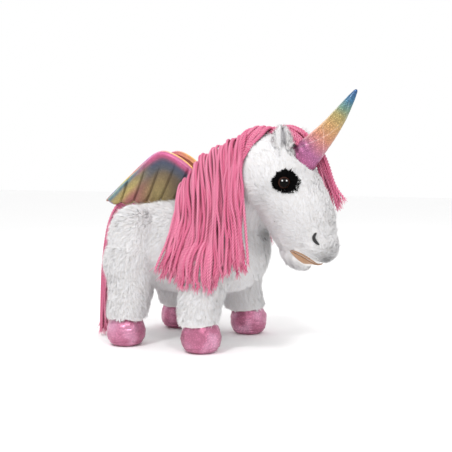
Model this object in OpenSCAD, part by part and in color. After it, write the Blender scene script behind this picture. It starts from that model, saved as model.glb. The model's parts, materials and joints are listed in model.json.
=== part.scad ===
// Standing plush unicorn with a yarn mane, a curved horn and a pair of padded wings.
// Every sewn piece is its own solid: fur skins, stuffing, hooves, eyes, horn, ears, wings and yarn.
// +X is forward, +Y is the animal's left and +Z is up. The soles stand on Z = 0.

/* [Body] */
// Length of the stuffed body from chest to rump
body_l = 180; // [160:1:216]
// Width of the body
body_w = 112; // [94:1:135]
// Height of the body from belly to back
body_h = 102; // [90:1:122]
// Height of the body's middle above the ground
body_z = 112; // [104:1:134]
// Distance from the neck's pivot to the front of the chest
chest_reach = 47; // [44:1:54]

/* [Fur fabric] */
// Thickness of the backing cloth with its pressed pile
skin_t = 3; // [2:0.5:4]
// Gap between a skin and its stuffing
stuffing_gap = 0.2; // [0.1:0.1:0.5]
// Gap between pieces that move against each other
joint_gap = 0.5; // [0.4:0.1:0.8]

/* [Neck] */
// Radius of the neck where it turns on the body
neck_r = 42; // [35:1:46]
// Height of the neck's pivot above the middle of the body
neck_rise = 38; // [32:1:42]
// Angle of the neck above the horizontal
neck_tilt = 50; // [40:1:60]
// Length of the neck from its pivot to its upper end
neck_l = 78; // [70:1:84]

/* [Head] */
// Radius of the round back part of the head
head_r = 46; // [38:1:52]
// Distance from the neck's pivot to the middle of the head
head_reach = 76.5; // [74:0.5:90]
// Angle of that line above the horizontal
head_line = 36; // [32:1:40]
// Length of the face from the middle of the head to the nose
face_l = 106; // [90:1:120]
// Angle of the face below the horizontal
face_pitch = 57.5; // [48:0.5:62]
// Radius of the muzzle near the nose
muzzle_r = 31; // [26:1:36]

/* [Eyes] */
// Diameter of an eye
eye_d = 14; // [11:0.5:17]
// Diameter of the dark patch behind an eye
patch_d = 21; // [18:1:25]
// Angle of an eye to the side of straight ahead
eye_side = 56; // [50:1:62]
// Angle of an eye below the middle of the head
eye_drop = 6; // [0:1:12]

/* [Ears] */
// Height of an ear above its hinge
ear_l = 32; // [26:1:40]
// Width of an ear
ear_w = 22; // [18:1:26]
// Thickness of an ear
ear_t = 9; // [7:0.5:11]

/* [Horn] */
// Length of the horn's straight chord
horn_l = 98; // [80:1:120]
// Diameter of the horn at its base
horn_d = 33; // [26:1:38]
// Diameter of the horn at its tip
horn_tip_d = 4; // [3:0.5:8]
// How far the horn bows away from its chord
horn_bow = 4.5; // [0:0.5:9]
// Thickness of the horn's cloth
horn_t = 1; // [0.8:0.1:2]

/* [Legs] */
// Radius of a shoulder
shoulder_r = 27; // [23:1:30]
// Radius of a haunch
haunch_r = 32; // [27:1:35]
// Radius of a leg above its hoof
leg_r = 22.5; // [18:0.5:25]
// Distance between the front and hind hooves
leg_spread = 98; // [86:1:116]
// Distance between the left and right hooves
stance_w = 128; // [114:1:146]

/* [Hooves] */
// Largest diameter of a hoof
hoof_d = 45; // [37:1:54]
// Height of a hoof
hoof_h = 33; // [28:1:40]
// Diameter of the flat sole
sole_d = 28; // [23:1:34]
// Thickness of the hoof's cloth
hoof_t = 1.2; // [0.8:0.1:2]

/* [Wings] */
// Length of a wing from its root's front end to its tip
wing_l = 110; // [92:1:132]
// Height of a wing above its root
wing_h = 60; // [50:1:72]
// Thickness of a wing's padding
wing_pad_t = 4; // [3:0.5:6]
// Thickness of one layer of wing cloth
wing_cloth_t = 1; // [0.6:0.1:1.5]
// Distance between the two wing roots
wing_gap = 22; // [18:1:30]
// Outward lean of a wing
wing_lean = 2; // [0:1:10]

/* [Yarn] */
// Thickness of the hanging mane
mane_t = 8; // [5:0.5:10]
// Width of the tape that the mane is sewn to
tape_w = 7; // [5:0.5:9]
// Diameter of the tail
tail_d = 18; // [14:1:24]

/* [Hidden] */
SIDES = 20;
body_mid_x = chest_reach - body_l / 2;
hoof_x = [0, -leg_spread];
limb_r = [shoulder_r, haunch_r];
hip_sink = 10;
hip_drop = [20, 17];
function hip_y(i) = body_w / 2 - hip_sink;
function hip(i, side) = [hoof_x[i], side * hip_y(i), body_z - hip_drop[i]];
neck_pivot = [0, 0, body_z + neck_rise];
head_mid = neck_pivot + head_reach * [cos(head_line), 0, sin(head_line)];

// ---- Shapes swept through rings ----

function mix(a, b, t) = a + (b - a) * t;
function flip(v) = [for (i = [len(v) - 1 : -1 : 0]) v[i]];
function axis(pitch) = [cos(pitch), 0, sin(pitch)];
function across(pitch) = [-sin(pitch), 0, cos(pitch)];

// One ring of points round a centre, square to an axis that is pitched up from +X.
function ring(centre, pitch, half_w, half_h) = [
    for (k = [0 : SIDES - 1])
        let (a = 360 * k / SIDES)
        centre + half_w * cos(a) * [0, 1, 0] + half_h * sin(a) * across(pitch)
];

// A closed skin through rings that ends in a point at each end.
module loft(rings, first, last) {
    points = concat([first], [for (r = rings) each r], [last]);
    end = len(points) - 1;
    polyhedron(points, concat(
        [for (k = [0 : SIDES - 1]) [0, 1 + (k + 1) % SIDES, 1 + k]],
        [for (i = [0 : len(rings) - 2], k = [0 : SIDES - 1])
            let (a = 1 + i * SIDES, b = a + SIDES, q = (k + 1) % SIDES)
            each [[a + k, a + q, b + q], [a + k, b + q, b + k]]],
        [for (k = [0 : SIDES - 1]) [end, end - SIDES + k, end - SIDES + (k + 1) % SIDES]]
    ));
}

// A station is [centre, pitch, half width, half height]. Stations run along +pitch.
function rings_of(stations, inset = 0) = [
    for (s = stations) ring(s[0], s[1], s[2] - inset, s[3] - inset)
];

// Solid that starts in a point and ends in a flat face.
module core(stations, tip, inset) {
    inner_tip = tip + inset * axis(stations[0][1]);
    loft(rings_of(stations, inset), inner_tip, stations[len(stations) - 1][0]);
}

// Cloth cup that starts in a point and is open at the other end.
module cup(stations, tip, wall) {
    rings = concat(rings_of(stations), flip(rings_of(stations, wall)));
    loft(rings, tip, tip + wall * axis(stations[0][1]));
}

module skin(stations, tip) {
    cup(stations, tip, skin_t);
}

module stuffing(stations, tip) {
    core(stations, tip, skin_t + stuffing_gap);
}

module both_sides() {
    children();
    mirror([0, 1, 0]) children();
}

module at_hips() {
    for (i = [0, 1], side = [-1, 1])
        translate(hip(i, side)) children(i);
}

// ---- Body ----

body_ends = 0.985;
function body_half(t) = sqrt(1 - pow(abs(t), 4));

// Rings from the chest back to the rump, closer together towards the ends.
body_stations = [
    for (i = [-8 : 8])
        let (t = -body_ends * sin(90 * i / 8), half = body_half(t))
        [[body_mid_x + t * body_l / 2, 0, body_z], 180, body_w / 2 * half, body_h / 2 * half]
];
chest_tip = [chest_reach, 0, body_z];

// The neck's seat leaves it room to nod forward by this angle.
nod_room = 8.5;

module neck_seat() {
    translate(neck_pivot) {
        sphere(r = neck_r + joint_gap, $fn = 64);
        rotate([0, 90 - neck_tilt + nod_room / 2, 0])
            cylinder(
                r1 = neck_r + joint_gap,
                r2 = neck_r + joint_gap + neck_l * tan(nod_room / 2),
                h = neck_l,
                $fn = 64);
    }
}

module limb_seat(r) {
    sphere(r = r + joint_gap, $fn = 64);
    translate([0, 0, -body_h]) cylinder(r = r + joint_gap, h = body_h, $fn = 64);
}

module body_seats() {
    neck_seat();
    at_hips() {
        limb_seat(shoulder_r);
        limb_seat(haunch_r);
    }
    translate(tail_pivot) sphere(r = tail_root_r + joint_gap, $fn = 48);
    both_sides() wing_place() rotate([0, -90, 0])
        translate([0, 0, -joint_gap])
            cylinder(r = wing_bead_r + joint_gap, h = wing_root_l + 2 * joint_gap, $fn = 48);
}

module torso_skin() {
    color("white") difference() {
        skin(body_stations, chest_tip);
        body_seats();
    }
}

module torso_stuffing() {
    color("ivory") difference() {
        stuffing(body_stations, chest_tip);
        body_seats();
    }
}

// ---- Neck, its tape and its mane ----

neck_top_r = 31;
neck_steps = 7;

function neck_half(s) = s < 0 ? sqrt(neck_r * neck_r - s * s) : mix(neck_r, neck_top_r, pow(s / neck_l, 2));

neck_stations = concat(
    [for (i = [1 : neck_steps])
        let (s = -neck_r * cos(90 * i / neck_steps))
        [neck_pivot + s * axis(neck_tilt), neck_tilt, neck_half(s), neck_half(s)]],
    [for (i = [1 : neck_steps])
        let (s = neck_l * i / neck_steps)
        [neck_pivot + s * axis(neck_tilt), neck_tilt, neck_half(s), neck_half(s)]]
);
neck_tip = neck_pivot - neck_r * axis(neck_tilt);

module neck_skin() {
    color("white") difference() {
        skin(neck_stations, neck_tip);
        head_seat();
    }
}

module neck_stuffing() {
    color("ivory") difference() {
        stuffing(neck_stations, neck_tip);
        head_seat();
    }
}

// A point above the neck's crest, by the share of the crest's length from the withers to the poll.
crest_from = 6;
crest_to = 72;
function crest(t, lift) =
    let (s = mix(crest_from, crest_to, t))
    neck_pivot + s * axis(neck_tilt) + (neck_half(s) + lift) * across(neck_tilt);

tape_t = 2;
tape_rest = 0.4;
tape_steps = 8;

module mane_tape() {
    color("hotpink") loft(
        [for (i = [0 : tape_steps])
            ring(crest(i / tape_steps, tape_rest + tape_t / 2), neck_tilt, tape_w / 2, tape_t / 2)],
        crest(0, tape_rest + tape_t / 2) - axis(neck_tilt),
        crest(1, tape_rest + tape_t / 2) + axis(neck_tilt));
}

// The mane hangs from the tape, out over the neck and the shoulder.
mane_steps_u = 8;
mane_steps_v = 10;
mane_clear = 5;
mane_top_y = tape_w / 2 + 0.5;
shoulder_y = hip_y(0) + shoulder_r + mane_clear;
mane_out = [[0, mane_top_y], [0.15, neck_r - 2], [0.35, neck_r + 12], [0.6, body_w / 2 + 8],
    [0.8, shoulder_y - 1], [1, shoulder_y + 2]];
mane_rear_x = -52;
mane_front_x = 48;
mane_end_rear = 90;
mane_end_mid = 76;
mane_end_front = 103;

function mane_end_z(u) =
    u < 0.5 ? mix(mane_end_rear, mane_end_mid, u * 2) : mix(mane_end_mid, mane_end_front, u * 2 - 1);

function mane_inner(u, v) =
    let (top = crest(u, tape_rest + tape_t))
    [mix(top[0], mix(mane_rear_x, mane_front_x, u), v), lookup(v, mane_out), mix(top[2], mane_end_z(u), v)];

function mane_outer(u, v) =
    let (e = 0.04, run = mane_inner(u, min(v + e, 1)) - mane_inner(u, max(v - e, 0)))
    let (l = norm([run[1], run[2]]))
    mane_inner(u, v) + mane_t / l * [0, -run[2], run[1]];

module mane_half() {
    nu = mane_steps_u;
    nv = mane_steps_v;
    grid = [for (i = [0 : nu], j = [0 : nv]) [i / nu, j / nv]];
    count = len(grid);
    points = concat([for (g = grid) mane_inner(g[0], g[1])], [for (g = grid) mane_outer(g[0], g[1])]);
    function id(i, j, side) = side * count + i * (nv + 1) + j;
    edge = concat(
        [for (j = [0 : nv - 1]) [0, j]], [for (i = [0 : nu - 1]) [i, nv]],
        [for (j = [nv : -1 : 1]) [nu, j]], [for (i = [nu : -1 : 1]) [i, 0]]);
    polyhedron(points, concat(
        [for (i = [0 : nu - 1], j = [0 : nv - 1])
            each [[id(i, j, 0), id(i + 1, j, 0), id(i + 1, j + 1, 0)],
                [id(i, j, 0), id(i + 1, j + 1, 0), id(i, j + 1, 0)]]],
        [for (i = [0 : nu - 1], j = [0 : nv - 1])
            each [[id(i, j, 1), id(i + 1, j + 1, 1), id(i + 1, j, 1)],
                [id(i, j, 1), id(i, j + 1, 1), id(i + 1, j + 1, 1)]]],
        [for (k = [0 : len(edge) - 1])
            let (a = edge[k], b = edge[(k + 1) % len(edge)])
            each [[id(a[0], a[1], 0), id(b[0], b[1], 0), id(b[0], b[1], 1)],
                [id(a[0], a[1], 0), id(b[0], b[1], 1), id(a[0], a[1], 1)]]]
    ));
}

module mane_left() {
    color("hotpink") mane_half();
}

module mane_right() {
    color("hotpink") mirror([0, 1, 0]) mane_half();
}

// ---- Head ----

face = -face_pitch;
face_back = 180 - face_pitch;
head_steps = 7;
poll_slit = 0.97;
nose_start = 0.86;

// Shares of the head's radius at which its ball runs into the straight top and sides of the face.
crown_run = 0.43;
cheek_run = 0.62;
muzzle_narrow = 2;
face_to = face_l * nose_start;

// Half size of the face at a distance from the middle of the head.
function ball_half(s) = sqrt(max(head_r * head_r - s * s, 0));
function face_side(s, from, end) =
    s < from ? ball_half(s) :
    s < face_to ? mix(ball_half(from), end, (s - from) / (face_to - from)) :
    end * sqrt(max(1 - pow((s - face_to) / (face_l - face_to), 2), 0));
function face_half(s) = face_side(s, crown_run * head_r, muzzle_r);
function face_half_w(s) = face_side(s, cheek_run * head_r, muzzle_r - muzzle_narrow);

// Room for the head to turn: a ball, and a cone along the back of the jaw.
throat_room = 8;
throat_l = face_l * 0.57;
throat_r = face_half(throat_l) + throat_room;

module head_seat() {
    translate(head_mid) {
        sphere(r = head_r + joint_gap, $fn = 64);
        rotate([0, 90 + face_pitch, 0])
            cylinder(r1 = head_r + joint_gap, r2 = throat_r, h = throat_l, $fn = 64);
    }
}

function head_station(s) = [head_mid + s * axis(face), face_back, face_half_w(s), face_half(s)];

head_stations = concat(
    [for (i = [1 : 4]) head_station(mix(face_l, face_to, 1 - cos(90 * i / 4)))],
    [for (i = [4 : -1 : 0]) head_station(mix(crown_run * head_r, face_to, i / 5))],
    [for (i = [2 : -1 : 0]) head_station(crown_run * head_r * i / 3)],
    [for (i = [1 : head_steps]) head_station(-poll_slit * head_r * sin(90 * i / head_steps))]
);
nose_tip = head_mid + face_l * axis(face);

// The head's outer shape as one solid, grown a little.
module head_solid(grow) {
    last = head_stations[len(head_stations) - 1][0];
    loft(rings_of(head_stations, -grow), nose_tip + grow * axis(face), last);
}

eye_stem_r = 1.7;
eye_washer_r = 5.5;
eye_washer_t = 1.2;
patch_t = 1.6;
eye_rest = 0.2;
patch_rest = 1.1;

// Turns local +Z to point out of the right eye, with the origin in the middle of the head.
module eye_place() {
    translate(head_mid) rotate([0, 90 + eye_drop, -eye_side]) children();
}

module eye_stem(clear, from, to) {
    translate([0, 0, from]) cylinder(r = eye_stem_r + clear, h = to - from, $fn = 32);
}

inside_r = head_r - skin_t;
washer_z = inside_r - 2.6;

module head_holes() {
    both_sides() eye_place() {
        eye_stem(0.2, head_r / 2, eye_base);
        translate([0, 0, washer_z - 0.6]) cylinder(r = eye_washer_r + 0.5, h = eye_washer_t + 1.2, $fn = 48);
    }
    both_sides() translate(ear_pivot) sphere(r = ear_root_r + joint_gap, $fn = 48);
}

module mouth_slot(clear) {
    translate(head_mid + (face_l - mouth_up) * axis(face) + mouth_back * across(face_back))
        rotate([0, face_pitch + mouth_turn, 0])
            translate([mouth_d / 2 - clear, 0, 0])
                cube([mouth_d + 2 * clear, mouth_w + 2 * clear, mouth_gap + 2 * clear], center = true);
}

mouth_up = 14;
mouth_back = 13;
mouth_turn = 8;
mouth_d = 24;
mouth_w = 30;
mouth_gap = 4;

module head_skin() {
    color("white") difference() {
        skin(head_stations, nose_tip);
        head_holes();
        mouth_slot(stuffing_gap);
    }
}

module head_stuffing() {
    color("ivory") difference() {
        stuffing(head_stations, nose_tip);
        head_holes();
        both_sides() eye_place() eye_stem(0.2, head_r / 2, head_r);
        mouth_slot(stuffing_gap);
    }
}

// The brown lining of the mouth is a folded pocket.
module mouth_lining() {
    color("peru") intersection() {
        difference() {
            mouth_slot(0);
            translate(0.001 * axis(face)) mouth_fold();
        }
        head_solid(0);
    }
}

module mouth_fold() {
    translate(head_mid + (face_l - mouth_up + 2) * axis(face) + mouth_back * across(face_back))
        rotate([0, face_pitch + mouth_turn, 0])
            translate([mouth_d / 2, 0, 0])
                cube([mouth_d, mouth_w - 2, 1.2], center = true);
}

nostril_turn = 38;
nostril_along = 0.79 * face_l;
nostril_r = 6;
thread_r = 1;
// Distance of the nose's surface from the middle line of the face, where the crescent lies.
nostril_out = let (w = face_half_w(nostril_along), h = face_half(nostril_along))
    w * h / sqrt(pow(h * cos(nostril_turn), 2) + pow(w * sin(nostril_turn), 2));

// Stitched crescent on each side of the nose.
module nostril_stitching() {
    color("black") both_sides()
        translate(head_mid + nostril_along * axis(face)) rotate([0, face_pitch, 0])
            rotate([-nostril_turn, 0, 0]) translate([0, -nostril_out - thread_r * 1.8, 0])
                rotate([90, 0, 0]) rotate(120) rotate_extrude(angle = 120, $fn = 48)
                    translate([nostril_r, 0]) circle(r = thread_r, $fn = 24);
}

eye_base = head_r + patch_rest + patch_t + eye_rest;
eye_sunk = 0.19;

// A domed eye on a stem that passes through the patch and the skin to its washer.
module eye() {
    color("black") eye_place() {
        eye_stem(0, washer_z - 2, eye_base);
        difference() {
            translate([0, 0, eye_base - eye_d * eye_sunk]) sphere(d = eye_d * 1.08, $fn = 48);
            translate([-eye_d, -eye_d, eye_base - 2 * eye_d]) cube(2 * eye_d);
        }
    }
}

module eye_washer() {
    color("gainsboro") eye_place() translate([0, 0, washer_z]) difference() {
        cylinder(r = eye_washer_r, h = eye_washer_t, $fn = 48);
        translate([0, 0, -1]) cylinder(r = eye_stem_r + 0.1, h = eye_washer_t + 2, $fn = 32);
    }
}

module eye_patch() {
    color("black") difference() {
        intersection() {
            translate(head_mid) sphere(r = head_r + patch_rest + patch_t, $fn = 64);
            eye_place() cylinder(d = patch_d, h = head_r + 10, $fn = 48);
        }
        translate(head_mid) sphere(r = head_r + patch_rest, $fn = 64);
        eye_place() eye_stem(0.2, 0, head_r + 10);
    }
}

module eye_right() eye();
module eye_left() mirror([0, 1, 0]) eye();
module eye_washer_right() eye_washer();
module eye_washer_left() mirror([0, 1, 0]) eye_washer();
module eye_patch_right() eye_patch();
module eye_patch_left() mirror([0, 1, 0]) eye_patch();

// ---- Ears ----

ear_root_r = 8;
ear_side = 37;
ear_forward = 21;
// The hinge of the right ear, half sunk in the head.
ear_pivot = head_mid + (head_r + 1.5) *
    [sin(ear_forward), -sin(ear_side) * cos(ear_forward), cos(ear_side) * cos(ear_forward)];
ear_lean = 8;
ear_turn = 25;
ear_steps = 8;

// The root is a ball with a waist above it, where the leaf starts.
ear_waist = ear_root_r * sin(45);
// Shares of the ear's height at which it is widest and at which it starts to thin out.
ear_belly = 0.45;
ear_full = 0.55;

function ear_round(t, from) = sqrt(max(1 - pow((t - from) / (1.02 - from), 2), 0));
function ear_rise(t) = min((t - ear_waist / ear_l) / (ear_belly - ear_waist / ear_l), 1);
function ear_half(t) =
    mix(ear_waist, ear_w / 2, sin(90 * ear_rise(t))) * (t < ear_belly ? 1 : ear_round(t, ear_belly));
function ear_thick(t) =
    mix(ear_waist, ear_t / 2, ear_rise(t)) * (t < ear_full ? 1 : ear_round(t, ear_full));

ear_stations = concat(
    [for (i = [1 : 7])
        let (a = 135 * i / 7)
        [[0, 0, -ear_root_r * cos(a)], 90, ear_root_r * sin(a), ear_root_r * sin(a)]],
    [for (i = [1 : ear_steps])
        let (t = mix(ear_waist / ear_l, 0.98, i / ear_steps))
        [[0, 0, t * ear_l], 90, ear_half(t), ear_thick(t)]]
);

module ear_place() {
    translate(ear_pivot) rotate([ear_lean, 0, -ear_turn]) children();
}

module ear_whole() {
    loft(rings_of(ear_stations), [0, 0, -ear_root_r], [0, 0, ear_l]);
}

lining_from = 1.2;
module ear_front(clear) {
    translate([lining_from + clear, -ear_w, ear_waist + clear]) cube([ear_w, 2 * ear_w, 2 * ear_l]);
}

module ear_outer() {
    color("white") ear_place() difference() {
        ear_whole();
        ear_front(0);
    }
}

module ear_lining() {
    color("gainsboro") ear_place() intersection() {
        ear_whole();
        ear_front(stuffing_gap);
    }
}

module ear_right_outer() ear_outer();
module ear_right_lining() ear_lining();
module ear_left_outer() mirror([0, 1, 0]) ear_outer();
module ear_left_lining() mirror([0, 1, 0]) ear_lining();

// ---- Horn and forelock ----

horn_line = 51;
horn_root_line = 30;
horn_root = head_mid + (head_r - 6) * axis(horn_root_line);
horn_steps = 14;

// Rings from the tip down to the root, which the round of the head cuts off.
function horn_mid(t) = horn_root + horn_l * t * axis(horn_line) - horn_bow * sin(180 * t) * across(horn_line);
function horn_half(t) = mix(horn_d / 2, horn_tip_d / 2, pow(t, 0.85));

horn_stations = [
    for (i = [horn_steps : -1 : 0])
        let (t = i / horn_steps)
        [horn_mid(t), 180 + horn_line + 12 * cos(180 * t) * -1, horn_half(t), horn_half(t)]
];
horn_tip = horn_mid(1) + horn_tip_d / 3 * axis(horn_line);

module horn_cut(gap) {
    translate(head_mid) sphere(r = head_r + gap, $fn = 64);
    head_solid(gap);
}

module horn_cover() {
    color("violet") difference() {
        cup(horn_stations, horn_tip, horn_t);
        horn_cut(eye_rest);
    }
}

module horn_stuffing() {
    color("ivory") difference() {
        core([for (i = [1 : horn_steps]) horn_stations[i]],
            horn_mid(1 - 1 / horn_steps) + 2 * axis(horn_line), horn_t + stuffing_gap);
        horn_cut(eye_rest);
    }
}

forelock_w = 15;
forelock_t = 7;
// Angles [forward, sideways, height above the head] of the lock, from the poll to its end on the left cheek.
forelock_path = [
    [-24, 0, 5], [-4, 1, 5], [14, 3, 6], [29, 8, 7], [45, 25, 9], [60, 31, 12], [76, 32, 16], [92, 31, 19]
];

function forelock_point(p) =
    head_mid + (head_r + p[2]) * [sin(p[0]) * cos(p[1]), sin(p[1]), cos(p[0]) * cos(p[1])];

module forelock() {
    color("hotpink") loft(
        [for (p = forelock_path) ring(forelock_point(p), -p[0], forelock_w / 2, forelock_t / 2)],
        forelock_point(forelock_path[0]) - 2 * axis(-forelock_path[0][0]),
        forelock_point(forelock_path[7]) + 2 * axis(-forelock_path[7][0]));
}

// ---- Legs and hooves ----

leg_steps = 6;
cuff_gap = 0.3;

function leg_half(i, s) = s < 0 ? sqrt(limb_r[i] * limb_r[i] - s * s)
    : s < limb_r[i] * 0.6 ? min(sqrt(limb_r[i] * limb_r[i] - s * s), limb_r[i])
    : mix(limb_r[i] * 0.8, leg_r, min((s - limb_r[i] * 0.6) / 22, 1));

// Rings from the hip's round top down to the hoof, moving out to the stance.
function leg_stations(i, side) =
    let (top = hip(i, side), fall = top[2] - hoof_h - cuff_gap, out = side * stance_w / 2 - top[1])
    concat(
        [for (k = [1 : leg_steps])
            let (s = -limb_r[i] * cos(90 * k / leg_steps))
            [top + [0, 0, -s], -90, leg_half(i, s), leg_half(i, s)]],
        [for (k = [1 : leg_steps + 2])
            let (t = k / (leg_steps + 2), s = fall * t)
            [top + [0, out * pow(t, 1.3), -s], -90, leg_half(i, s), leg_half(i, s)]]
    );
function leg_tip(i, side) = hip(i, side) + [0, 0, limb_r[i]];

module leg_skin(i, side) {
    color("white") skin(leg_stations(i, side), leg_tip(i, side));
}

module leg_stuffing(i, side) {
    color("ivory") stuffing(leg_stations(i, side), leg_tip(i, side));
}

hoof_top_r = leg_r - 3;
belly_z = hoof_h * 0.42;
hoof_steps = 12;
// Heights of the two ellipses that make a hoof's side, below and above its widest place.
hoof_low = belly_z / sqrt(1 - pow(sole_d / hoof_d, 2));
hoof_high = (hoof_h - belly_z) / sqrt(1 - pow(2 * hoof_top_r / hoof_d, 2));

function hoof_half(z) =
    let (share = z < belly_z ? (belly_z - z) / hoof_low : (z - belly_z) / hoof_high)
    hoof_d / 2 * sqrt(1 - share * share);

module hoof_profile(inset, from) {
    side = [for (k = [0 : hoof_steps]) let (z = mix(from, hoof_h, k / hoof_steps)) [hoof_half(z) - inset, z]];
    polygon(concat([[0, from]], side, [[0, hoof_h]]));
}

module hoof_at(i, side) {
    translate([hoof_x[i], side * stance_w / 2, 0]) children();
}

// The hoof's cloth is a cup with a flat sole, open where the leg is sewn on.
module hoof_cover(i, side) {
    color("orchid") hoof_at(i, side) rotate_extrude($fn = 64) difference() {
        hoof_profile(0, 0);
        hoof_profile(hoof_t, hoof_t);
    }
}

module hoof_filling(i, side) {
    color("ivory") hoof_at(i, side) rotate_extrude($fn = 64)
        hoof_profile(hoof_t + stuffing_gap, hoof_t + stuffing_gap);
}

// ---- Wings ----

wing_root_x = -(neck_r + 3);
wing_bead_r = 3;
wing_root_l = 36;
wing_root_end = (wing_root_x - wing_root_l - body_mid_x) / body_l * 2;
wing_root_z = body_z + 1.2 + body_h / 2 * body_half(wing_root_end) * sqrt(1 - pow(wing_gap / body_w, 2));
seam_h = 2.2;
wadding_inset = 3;
scallops = 7;
scallop_h = 4;
smooth_steps = 5;
// The wing's upper edge from its front end over its peak to its tip, as shares of its length and height.
wing_edge = [
    [0, 0.5], [0.05, 0.78], [0.17, 0.94], [0.32, 1], [0.44, 0.92], [0.6, 0.67], [0.78, 0.36], [1, 0.02]
];

// A smooth line through points, with its ends held.
function smooth(p, n) = [
    for (i = [0 : len(p) - 2], k = [0 : n - 1])
        let (t = k / n, a = p[max(i - 1, 0)], b = p[i], c = p[i + 1], d = p[min(i + 2, len(p) - 1)])
        0.5 * (2 * b + (c - a) * t
            + (2 * a - 5 * b + 4 * c - d) * t * t
            + (3 * b - a - 3 * c + d) * t * t * t)
];

// The feather tips: a row of small arcs from the wing's tip back to its root.
function feather_tips() = [
    for (i = [0 : scallops - 1], k = [1 : smooth_steps])
        let (t = (i + k / smooth_steps) / scallops, x = mix(-wing_l, -wing_root_l, t))
        [x, seam_h + scallop_h * (1 - sin(180 * k / smooth_steps))]
];

module wing_outline() {
    upper = [for (p = smooth(wing_edge, smooth_steps)) [-p[0] * wing_l, p[1] * wing_h]];
    tip = [-wing_l, seam_h + scallop_h];
    polygon(concat([[0, seam_h]], upper, [tip], feather_tips(), [[-wing_root_l, seam_h]]));
}

// Right wing's frame: X along the root, Z up the wing, with the origin at the root's front end.
module wing_place() {
    translate([wing_root_x, -wing_gap / 2, wing_root_z]) rotate([wing_lean, 0, 0]) children();
}

module wing_layer(from, thick) {
    translate([0, -from, 0]) rotate([90, 0, 0]) linear_extrude(height = thick) children();
}

module wing_piping() {
    color("purple") wing_place() rotate([0, -90, 0]) difference() {
        cylinder(r = wing_bead_r, h = wing_root_l, $fn = 48);
        translate([seam_h, -2 * wing_bead_r, -1]) cube([wing_bead_r, 4 * wing_bead_r, wing_root_l + 2]);
    }
}

module wing_outer_cloth() {
    color("goldenrod") wing_place() wing_layer(wing_pad_t / 2, wing_cloth_t) wing_outline();
}

module wing_inner_cloth() {
    color("mediumpurple") wing_place()
        wing_layer(-wing_pad_t / 2 - wing_cloth_t, wing_cloth_t) wing_outline();
}

module wing_wadding() {
    color("ivory") wing_place() wing_layer(-wing_pad_t / 2, wing_pad_t)
        offset(delta = -wadding_inset) wing_outline();
}

module wing_right_piping() wing_piping();
module wing_right_outer_cloth() wing_outer_cloth();
module wing_right_wadding() wing_wadding();
module wing_right_inner_cloth() wing_inner_cloth();
module wing_left_piping() mirror([0, 1, 0]) wing_piping();
module wing_left_outer_cloth() mirror([0, 1, 0]) wing_outer_cloth();
module wing_left_wadding() mirror([0, 1, 0]) wing_wadding();
module wing_left_inner_cloth() mirror([0, 1, 0]) wing_inner_cloth();

// ---- Tail ----

tail_root_r = 7;
tail_seat = 0.78;
tail_pivot = [body_mid_x - tail_seat * body_l / 2, 0, body_z + body_h / 2 * body_half(tail_seat)];
tail_top = tail_root_r + 0.5;
rump_x = body_mid_x - body_l / 2;
tail_clear = 6;
tail_x = rump_x - tail_clear - tail_d / 2;
tail_end_z = 8;
// The tail's line: [place, pitch of its run, share of its full thickness].
tail_line = [
    [tail_pivot + tail_top * axis(150), 160, 0.45],
    [[mix(tail_pivot[0], tail_x, 0.5), -1, tail_pivot[2] + 6], 190, 0.8],
    [[mix(tail_pivot[0], tail_x, 0.88), -3, tail_pivot[2] - 5], 235, 0.95],
    [[tail_x, -7, body_z + 14], 262, 1],
    [[tail_x, -13, mix(body_z + 14, tail_end_z, 0.33)], 270, 1],
    [[tail_x + 1, -21, mix(body_z + 14, tail_end_z, 0.66)], 272, 1],
    [[tail_x + 2, -30, tail_end_z], 272, 0.85]
];

module tail_root() {
    color("hotpink") translate(tail_pivot) sphere(r = tail_root_r, $fn = 48);
}

module tail_strands() {
    color("hotpink") loft(
        [for (p = tail_line) ring(p[0], p[1], p[2] * tail_d / 2, p[2] * tail_d / 2)],
        tail_line[0][0] - 0.3 * axis(tail_line[0][1]),
        tail_line[6][0] + 2 * axis(tail_line[6][1]));
}

// ---- Nodes ----

torso_skin();
torso_stuffing();
neck_skin();
neck_stuffing();
mane_tape();
mane_right();
mane_left();
head_skin();
head_stuffing();
mouth_lining();
nostril_stitching();
eye_right();
eye_left();
eye_washer_right();
eye_washer_left();
eye_patch_right();
eye_patch_left();
ear_right_outer();
ear_right_lining();
ear_left_outer();
ear_left_lining();
horn_cover();
horn_stuffing();
forelock();
leg_skin(0, -1);  // leg_front_right_skin
leg_stuffing(0, -1);  // leg_front_right_stuffing
hoof_cover(0, -1);  // hoof_front_right_cover
hoof_filling(0, -1);  // hoof_front_right_filling
leg_skin(0, 1);  // leg_front_left_skin
leg_stuffing(0, 1);  // leg_front_left_stuffing
hoof_cover(0, 1);  // hoof_front_left_cover
hoof_filling(0, 1);  // hoof_front_left_filling
leg_skin(1, -1);  // leg_hind_right_skin
leg_stuffing(1, -1);  // leg_hind_right_stuffing
hoof_cover(1, -1);  // hoof_hind_right_cover
hoof_filling(1, -1);  // hoof_hind_right_filling
leg_skin(1, 1);  // leg_hind_left_skin
leg_stuffing(1, 1);  // leg_hind_left_stuffing
hoof_cover(1, 1);  // hoof_hind_left_cover
hoof_filling(1, 1);  // hoof_hind_left_filling
wing_right_piping();
wing_right_outer_cloth();
wing_right_wadding();
wing_right_inner_cloth();
wing_left_piping();
wing_left_outer_cloth();
wing_left_wadding();
wing_left_inner_cloth();
tail_root();
tail_strands();
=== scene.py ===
"""Plush unicorn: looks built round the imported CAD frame.

Lengths are in metres; +X is forward, +Y the animal's left and +Z up.
"""
import bpy
import json
import math
import numpy as np
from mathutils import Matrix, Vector
from mathutils.bvhtree import BVHTree
from mathutils.kdtree import KDTree

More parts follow.
